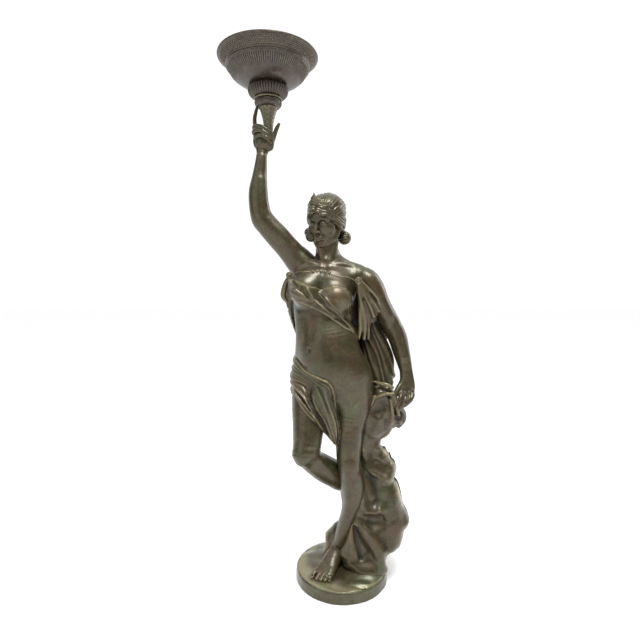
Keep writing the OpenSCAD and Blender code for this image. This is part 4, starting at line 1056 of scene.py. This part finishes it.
bowlTop = 1954.0
outerBowl = [[58, 1893.5], [64, 1894], [78, 1897], [94, 1902.5], [110, 1910.5], [124, 1920], [135, 1930],
             [143, 1940], [148.5, 1949], [151, 1954], [152.5, 1957]]
innerBowl = [[149, 1957], [146, 1950], [140, 1940], [131, 1930], [120, 1921], [106, 1912], [92, 1906],
             [76, 1902], [58, 1900], [7, 1899.5]]
seatPart = [[7, 1893.5], [30, 1893.5]]
smoothOuter = alongCurve(outerBowl, 1.5)
bowlProfile = denser(np.vstack([smoothOuter, alongCurve(innerBowl, 4.0), seatPart]), 5.0)
outerMask = (np.arange(len(bowlProfile)) < len(smoothOuter)).astype(float)[None, :]
lowerBowl = spunPiece("lowerBowl", bowlProfile, torchAxis, bowl["flutes"] * 8, fluteRelief, True, 34)

bandOuter = [[150.5, 1955], [154.5, 1956], [155.5, 1958.5], [154.5, 1961], [155.5, 1963], [161, 1970],
             [168, 1979], [175, 1987], [178.5, 1990.5], [181.5, 1991.5], [185.5, 1993.5], [186.8, 1996.4],
             [185.4, 1999.0], [182, 2000.0]]
bandInner = [[178.6, 1998.6], [176.2, 1994], [170, 1985], [163, 1976], [157, 1967], [152.5, 1960],
             [150, 1955.6]]
smoothBand = alongCurve(bandOuter, 0.9)
bandProfile = np.vstack([smoothBand, alongCurve(bandInner, 3.0)])
bandMask = (np.arange(len(bandProfile)) < len(smoothBand)).astype(float)[None, :]


def latticeRelief(angle, run, p):
    # small diamonds between crossing bars on the flared part, with a bead in each diamond
    z = p[..., 1]
    share = np.clip((z - 1965) / 2, 0, 1) * np.clip((1988.5 - z) / 2, 0, 1)
    u = bowl["diamonds"] * angle / 2
    v = (z - 1965) * math.pi / 8.2
    bars = np.minimum(np.abs(np.sin(u + v)), np.abs(np.sin(u - v)))
    bead = np.clip(1 - ((np.sin(u + v) ** 2 - 1) ** 2 + (np.sin(u - v) ** 2 - 1) ** 2) * 2.2, 0, 1)
    flute = 0.8 * (np.abs(np.sin(bowl["flutes"] * angle / 2)) - 0.6) * np.exp(-((z - 1957.5) / 1.8) ** 2)
    return bandMask * (bowl["diamondDepth"] * (-np.clip(bars / 0.34, 0, 1) * share + 0.9 * bead * share) +
                       flute)


rimBand = spunPiece("rimBand", bandProfile, torchAxis, bowl["diamonds"] * 8, latticeRelief, True, 46)

knopOuter = [[50, 1850], [56, 1851.5], [64, 1856], [71, 1863], [75, 1872], [76, 1880], [73, 1888],
             [66, 1895], [56, 1900], [50, 1902]]
knopInner = [[44, 1900.5], [60, 1893], [68, 1884], [69, 1874], [63, 1863], [50, 1854], [6, 1853.5],
             [6, 1850]]
smoothKnop = alongCurve(knopOuter, 1.1)
knopProfile = np.vstack([smoothKnop, denser(knopInner, 3.0)[:-1]])
knopMask = (np.arange(len(knopProfile)) < len(smoothKnop)).astype(float)[None, :]


def gadroonRelief(angle, run, p):
    # fat lobes leaning round the knop, widest at its belly
    z = p[..., 1]
    belly = np.clip(np.sin(np.clip((z - 1850) / 52, 0, 1) * math.pi), 0, 1) ** 0.35
    wave = np.abs(np.sin(bowl["gadroons"] * angle / 2))
    return knopMask * bowl["gadroonDepth"] * (wave ** 0.6 - 1) * belly


knop = spunPiece("knop", knopProfile, torchAxis, bowl["gadroons"] * 18, gadroonRelief, True, 22)
ringProfile = denser([[5.6, 1842.2], [48, 1842.2], [51.5, 1843], [53, 1846], [51.5, 1849], [48, 1849.8],
                      [5.6, 1849.8]], 1.2)
knopRing = spunPiece("knopRing", ringProfile, torchAxis, 320,
                     lambda angle, run, p: 0.5 * np.abs(np.sin(30 * angle)) *
                     np.clip((p[..., 0] - 50) / 3, 0, 1), True, 60)


def leafRelief(angle, run, p):
    # pointed leaves standing up and curling out at their tips
    z = p[..., 1]
    share = np.clip((z - 1815) / 26, 0, 1)
    leaf = np.abs(np.cos(4 * angle))
    tip = np.clip(leaf * 1.25 - share * 0.75, 0, 1)
    vein = np.abs(np.sin(36 * angle)) * 0.8 + 1.4 * np.abs(np.sin(8 * angle))
    return cupMask * (4.0 * (tip ** 0.6 - 0.6) * share + 0.9 * vein * np.clip(share * 3, 0, 1) - 1.2)


cupOuter = [[33, 1815], [38, 1815.5], [43, 1818], [47, 1823], [49.5, 1829], [50.5, 1835], [49, 1840],
            [45, 1842]]
cupInner = [[5.6, 1842], [5.6, 1815]]
smoothCup = alongCurve(cupOuter, 0.9)
cupProfile = np.vstack([smoothCup, denser(cupInner, 3.0)])
cupMask = (np.arange(len(cupProfile)) < len(smoothCup)).astype(float)[None, :]
leafCup = spunPiece("leafCup", cupProfile, torchAxis, 720, leafRelief, True, 40)

handleOuter = [[9, 1690], [12, 1691], [14.4, 1696], [15, 1710], [16, 1735], [18.4, 1757], [22, 1776],
               [26.6, 1793], [31, 1806], [35, 1815]]
smoothHandle = alongCurve(handleOuter, 1.2)
handleProfile = np.vstack([smoothHandle, denser([[5.6, 1815], [5.6, 1690]], 4.0)])
handleMask = (np.arange(len(handleProfile)) < len(smoothHandle)).astype(float)[None, :]


def stalkRelief(angle, run, p):
    # long leaves wrapped up the stalk, meeting in V shapes
    z = p[..., 1]
    lift = (z - 1690) / 125
    wave = np.abs(np.sin(3 * angle))
    vee = np.abs(((z / 15 + 1.5 * np.abs(np.sin(3 * angle))) % 1) - 0.5) * 2
    return handleMask * (2.4 * (wave ** 0.6 - 0.7) * (0.35 + lift) + 1.1 * (vee - 0.5) *
                         np.clip(lift * 3, 0, 1))


torchHandle = spunPiece("torchHandle", handleProfile, torchAxis, 420, stalkRelief, True, 40)
print("torch and bowl made")


# Finishes

def newGroup(name, inputs, outputs):
    # an empty node group with its sockets
    group = bpy.data.node_groups.new(name, "ShaderNodeTree")
    for label, kind, value in inputs:
        socket = group.interface.new_socket(name=label, in_out="INPUT", socket_type=kind)
        socket.default_value = value
    for label, kind in outputs:
        group.interface.new_socket(name=label, in_out="OUTPUT", socket_type=kind)
    return group


class Graph:
    # short hand for putting nodes into a tree and joining them

    def __init__(self, tree):
        self.tree = tree

    def add(self, kind, **values):
        node = self.tree.nodes.new(kind)
        for key, value in values.items():
            setattr(node, key, value)
        return node

    def join(self, source, target):
        self.tree.links.new(source, target)

    def noise(self, coords, scale, detail=4.0, roughness=0.55, distortion=0.0):
        node = self.add("ShaderNodeTexNoise")
        node.inputs["Scale"].default_value = scale
        node.inputs["Detail"].default_value = detail
        node.inputs["Roughness"].default_value = roughness
        node.inputs["Distortion"].default_value = distortion
        self.join(coords, node.inputs["Vector"])
        return node.outputs["Fac"]

    def remap(self, value, low, high, toLow=0.0, toHigh=1.0):
        node = self.add("ShaderNodeMapRange", interpolation_type="SMOOTHSTEP")
        node.inputs["From Min"].default_value = low
        node.inputs["From Max"].default_value = high
        node.inputs["To Min"].default_value = toLow
        node.inputs["To Max"].default_value = toHigh
        self.join(value, node.inputs["Value"])
        return node.outputs["Result"]

    def math(self, operation, a, b=None, clamp=False):
        node = self.add("ShaderNodeMath", operation=operation, use_clamp=clamp)
        for i, value in enumerate((a, b)):
            if value is None:
                continue
            if isinstance(value, (int, float)):
                node.inputs[i].default_value = value
            else:
                self.join(value, node.inputs[i])
        return node.outputs[0]

    def mix(self, share, first, second, blend="MIX"):
        node = self.add("ShaderNodeMix", data_type="RGBA", blend_type=blend)
        for value, socket in ((share, node.inputs[0]), (first, node.inputs[6]), (second, node.inputs[7])):
            if isinstance(value, (int, float)):
                socket.default_value = value
            elif isinstance(value, tuple):
                socket.default_value = value
            else:
                self.join(value, socket)
        return node.outputs[2]


def linear(red, green, blue):
    # paint values 0 to 255 as the shader wants them
    return tuple(((v / 255 + 0.055) / 1.055) ** 2.4 if v > 10 else v / 3294
                 for v in (red, green, blue)) + (1.0,)


def makePatinaGroup():
    # worn high places, dark hollows, and clouds of green and brown over the ground colour
    group = newGroup("Patina", [("Ground", "NodeSocketColor", linear(88, 82, 62)),
                                ("Hollow", "NodeSocketColor", linear(30, 27, 20)),
                                ("Worn", "NodeSocketColor", linear(150, 140, 112)),
                                ("Green", "NodeSocketColor", linear(84, 96, 68)),
                                ("Brown", "NodeSocketColor", linear(104, 72, 52)),
                                ("Green Amount", "NodeSocketFloat", 0.5),
                                ("Brown Amount", "NodeSocketFloat", 0.4),
                                ("Wear Amount", "NodeSocketFloat", 0.7)],
                     [("Colour", "NodeSocketColor"), ("Roughness", "NodeSocketFloat"),
                      ("Height", "NodeSocketFloat")])
    g = Graph(group)
    inp, out = g.add("NodeGroupInput"), g.add("NodeGroupOutput")
    coords = g.add("ShaderNodeTexCoord").outputs["Object"]
    wear = g.add("ShaderNodeAttribute", attribute_name="wear").outputs["Fac"]
    cloud = g.noise(coords, 7.0, 5.0, 0.6, 0.4)
    patch = g.noise(coords, 16.0, 6.0, 0.62, 0.2)
    streak = g.add("ShaderNodeMapping")
    streak.inputs["Scale"].default_value = (1.0, 1.0, 0.22)
    g.join(coords, streak.inputs["Vector"])
    runs = g.noise(streak.outputs["Vector"], 42.0, 5.0, 0.6)
    mottle = g.noise(coords, 120.0, 4.0, 0.6)
    grain = g.noise(coords, 420.0, 3.0, 0.6)
    green = g.math("MULTIPLY", g.remap(cloud, 0.46, 0.64), inp.outputs["Green Amount"])
    brown = g.math("MULTIPLY", g.remap(patch, 0.50, 0.66), inp.outputs["Brown Amount"])
    colour = g.mix(green, inp.outputs["Ground"], inp.outputs["Green"])
    colour = g.mix(brown, colour, inp.outputs["Brown"])
    colour = g.mix(g.remap(runs, 0.42, 0.7, 0.0, 0.35), colour, g.mix(0.5, colour, inp.outputs["Hollow"]))
    colour = g.mix(g.remap(mottle, 0.35, 0.7, 0.0, 0.25), colour, g.mix(0.35, colour, inp.outputs["Worn"]))
    stain = g.noise(coords, 27.0, 6.0, 0.68, 0.6)
    colour = g.mix(g.remap(stain, 0.52, 0.68, 0.0, 0.55), colour, g.mix(0.6, colour, inp.outputs["Hollow"]))
    colour = g.mix(g.remap(stain, 0.46, 0.30, 0.0, 0.4), colour, g.mix(0.4, colour, inp.outputs["Worn"]))
    ragged = g.math("ADD", wear, g.math("MULTIPLY", g.math("SUBTRACT", mottle, 0.5), 0.16))
    deep = g.remap(ragged, 0.48, 0.24, 0.0, 0.85)
    high = g.math("MULTIPLY", g.remap(ragged, 0.58, 1.0, 0.0, 1.0), inp.outputs["Wear Amount"])
    colour = g.mix(deep, colour, inp.outputs["Hollow"])
    colour = g.mix(high, colour, inp.outputs["Worn"])
    g.join(colour, out.inputs["Colour"])
    rough = g.math("ADD", g.remap(patch, 0.3, 0.7, 0.29, 0.42),
                   g.math("MULTIPLY", g.math("SUBTRACT", mottle, 0.5), 0.18))
    rough = g.math("ADD", rough, g.math("MULTIPLY", deep, 0.22))
    g.join(g.math("SUBTRACT", rough, g.math("MULTIPLY", high, 0.06)), out.inputs["Roughness"])
    height = g.math("ADD", g.math("MULTIPLY", mottle, 0.6), g.math("MULTIPLY", grain, 0.4))
    g.join(g.math("ADD", height, g.math("MULTIPLY", patch, 0.8)), out.inputs["Height"])
    return group


patina = makePatinaGroup()


def bronzeMaterial(name, colours, amounts=(0.5, 0.5, 0.6), metal=0.4, bump=0.0010, coat=0.3):
    # patina over a half metallic ground under a thin coat of wax
    material = bpy.data.materials.new(name)
    material.use_nodes = True
    g = Graph(material.node_tree)
    shader = material.node_tree.nodes["Principled BSDF"]
    node = g.add("ShaderNodeGroup")
    node.node_tree = patina
    for label, value in zip(("Ground", "Hollow", "Worn", "Green", "Brown"), colours):
        node.inputs[label].default_value = linear(*value)
    for label, value in zip(("Green Amount", "Brown Amount", "Wear Amount"), amounts):
        node.inputs[label].default_value = value
    relief = g.add("ShaderNodeBump")
    relief.inputs["Distance"].default_value = bump
    relief.inputs["Strength"].default_value = 0.5
    g.join(node.outputs["Height"], relief.inputs["Height"])
    g.join(node.outputs["Colour"], shader.inputs["Base Color"])
    g.join(node.outputs["Roughness"], shader.inputs["Roughness"])
    g.join(relief.outputs["Normal"], shader.inputs["Normal"])
    shader.inputs["Metallic"].default_value = metal
    shader.inputs["Coat Weight"].default_value = coat
    shader.inputs["Coat Roughness"].default_value = 0.22
    return material


def plainMaterial(name, first, second, scale, rough=(0.3, 0.5), metal=0.0, bump=0.0003, transmission=0.0):
    # two tones of one substance clouded together, with a fine grain
    material = bpy.data.materials.new(name)
    material.use_nodes = True
    g = Graph(material.node_tree)
    shader = material.node_tree.nodes["Principled BSDF"]
    coords = g.add("ShaderNodeTexCoord").outputs["Object"]
    cloud = g.noise(coords, scale, 5.0, 0.6)
    fine = g.noise(coords, scale * 9, 3.0, 0.6)
    g.join(g.mix(g.remap(cloud, 0.35, 0.65), linear(*first), linear(*second)), shader.inputs["Base Color"])
    g.join(g.remap(fine, 0.3, 0.7, rough[0], rough[1]), shader.inputs["Roughness"])
    relief = g.add("ShaderNodeBump")
    relief.inputs["Distance"].default_value = bump
    relief.inputs["Strength"].default_value = 0.4
    g.join(fine, relief.inputs["Height"])
    g.join(relief.outputs["Normal"], shader.inputs["Normal"])
    shader.inputs["Metallic"].default_value = metal
    shader.inputs["Transmission Weight"].default_value = transmission
    return material


figureTones = [(64, 56, 36), (18, 15, 9), (138, 126, 92), (66, 76, 46), (80, 50, 32)]
baseTones = [(70, 64, 44), (20, 18, 12), (138, 132, 100), (80, 90, 60), (80, 56, 38)]
bowlTones = [(58, 48, 40), (14, 12, 10), (156, 142, 118), (56, 58, 46), (66, 44, 34)]
rubbedTones = [(98, 90, 68), (28, 24, 17), (168, 158, 126), (92, 98, 74), (98, 74, 52)]
materials = {
    "figure_bronze": bronzeMaterial("figureBronze", figureTones),
    "base_bronze": bronzeMaterial("baseBronze", baseTones, (0.8, 0.3, 0.7)),
    "bowl_bronze": bronzeMaterial("bowlBronze", bowlTones, (0.3, 0.4, 0.8)),
    "rubbed_bronze": bronzeMaterial("rubbedBronze", rubbedTones, (0.4, 0.3, 0.8)),
    "brass": plainMaterial("agedBrass", (176, 138, 74), (148, 112, 56), 60, (0.25, 0.4), 1.0),
    "steel": plainMaterial("zincSteel", (168, 170, 172), (138, 140, 144), 70, (0.3, 0.45), 1.0),
    "filament": plainMaterial("filamentWire", (96, 92, 88), (74, 70, 68), 200, (0.35, 0.5), 1.0),
    "bulb_metal": plainMaterial("bulbCap", (190, 190, 186), (168, 168, 166), 80, (0.25, 0.38), 1.0),
    "bulb_glass": plainMaterial("bulbGlass", (236, 238, 236), (226, 230, 228), 30, (0.02, 0.05), 0.0,
                                0.0001, 0.9),
    "stem_glass": plainMaterial("stemGlass", (228, 232, 230), (216, 222, 220), 60, (0.04, 0.08), 0.0,
                                0.0001, 0.8),
    "porcelain": plainMaterial("porcelain", (232, 228, 216), (222, 216, 202), 40, (0.15, 0.25)),
    "fibre": plainMaterial("fibreSleeve", (66, 56, 46), (50, 42, 36), 120, (0.7, 0.85)),
    "rubber": plainMaterial("rubber", (30, 29, 28), (42, 41, 40), 90, (0.6, 0.8)),
    "black_fitting": plainMaterial("blackFitting", (24, 24, 24), (34, 33, 32), 90, (0.25, 0.4)),
}

standsFor = [(plinth, "plinth", "base_bronze"), (groundCasting, "ground_casting", "base_bronze"),
             (standingLeg, "standing_leg", "figure_bronze"), (bentLeg, "bent_leg", "figure_bronze"),
             (torso, "torso", "figure_bronze"), (headPiece, "head", "figure_bronze"),
             (tiara, "tiara", "rubbed_bronze"),
             (raisedArm, "raised_arm", "figure_bronze"), (torchHand, "torch_hand", "figure_bronze"),
             (loweredArm, "lowered_arm", "figure_bronze"),
             (gatheringHand, "gathering_hand", "figure_bronze"),
             (chestDrape, "chest_drape", "figure_bronze"), (breastCord, "breast_cord", "rubbed_bronze"),
             (brooch, "brooch", "rubbed_bronze"), (shoulderClasps, "shoulder_clasps", "rubbed_bronze"),
             (hipDrape, "hip_drape", "figure_bronze"), (mantleUpper, "mantle_upper", "figure_bronze"),
             (mantleLower, "mantle_lower", "figure_bronze"), (torchHandle, "torch_handle", "rubbed_bronze"),
             (leafCup, "leaf_cup", "bowl_bronze"), (knopRing, "knop_ring", "rubbed_bronze"),
             (knop, "knop", "bowl_bronze"),
             (lowerBowl, "lower_bowl", "bowl_bronze"), (rimBand, "rim_band", "bowl_bronze")]
for piece, node, slotName in standsFor:
    piece.data.materials.append(materials[slotName])
    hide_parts(node)
    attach(piece, "lamp")

slotOf = {part["node"]: part["material_slot"] for part in frame["record"]["subparts"]}
replaced = {node for _, node, _ in standsFor}
for name, node in frame["nodes"].items():
    if name in replaced:
        continue
    node.data.materials.clear()
    node.data.materials.append(materials[slotOf[name]])
    print("kept", name, slotOf[name])


# Floor, light and camera

studio = {"floor": (253, 253, 253), "key": 122, "fill": 30, "rim": 26, "world": 1.12, "dim": 0.14,
          "above": 1.3}
floorMesh = bpy.data.meshes.new("floor")
floorMesh.from_pydata([(-30, -30, -0.001), (30, -30, -0.001), (30, 30, -0.001), (-30, 30, -0.001)], [],
                      [(0, 1, 2, 3)])
floor = bpy.data.objects.new("floor", floorMesh)
bpy.context.scene.collection.objects.link(floor)
floorMesh.materials.append(plainMaterial("paleFloor", studio["floor"], (250, 250, 250), 2.0, (0.85, 0.95)))


def areaLight(name, place, target, size, power):
    # a rectangular lamp that looks at its target
    light = bpy.data.lights.new(name, "AREA")
    light.shape = "RECTANGLE"
    light.size, light.size_y = size
    light.energy = power
    thing = bpy.data.objects.new(name, light)
    thing.location = place
    thing.rotation_euler = (Vector(target) - Vector(place)).to_track_quat("-Z", "Y").to_euler()
    bpy.context.scene.collection.objects.link(thing)
    return thing


areaLight("keyLight", (0.5, -1.5, 4.2), (0, 0, 1.0), (1.6, 1.2), studio["key"])
areaLight("fillLight", (-3.0, -2.6, 2.4), (0, 0, 1.0), (3.2, 3.2), studio["fill"])
areaLight("rimLight", (2.8, 1.6, 2.6), (0, 0, 1.1), (1.0, 2.0), studio["rim"])
world = bpy.data.worlds.new("studioWorld")
world.use_nodes = True
sky = Graph(world.node_tree)
ray = sky.add("ShaderNodeSeparateXYZ")
sky.join(sky.add("ShaderNodeTexCoord").outputs["Generated"], ray.inputs["Vector"])
behindIt = sky.remap(ray.outputs["Y"], 0.2, 0.6, studio["dim"], studio["world"])
overhead = sky.remap(ray.outputs["Z"], 0.35, 0.9, 0.0, studio["above"])
brightness = sky.math("MAXIMUM", behindIt, sky.math("ADD", overhead, studio["dim"]))
world.node_tree.nodes["Background"].inputs["Color"].default_value = (1, 1, 1, 1)
sky.join(brightness, world.node_tree.nodes["Background"].inputs["Strength"])
bpy.context.scene.world = world
bpy.context.scene.view_settings.view_transform = "Standard"

cameraData = bpy.data.cameras.new("camera")
cameraData.lens = 25.67
camera = bpy.data.objects.new("camera", cameraData)
camera.location = (-0.086, -1.757, 1.129)
camera.rotation_euler = (math.radians(86.44), 0, 0)
bpy.context.scene.collection.objects.link(camera)
bpy.context.scene.camera = camera
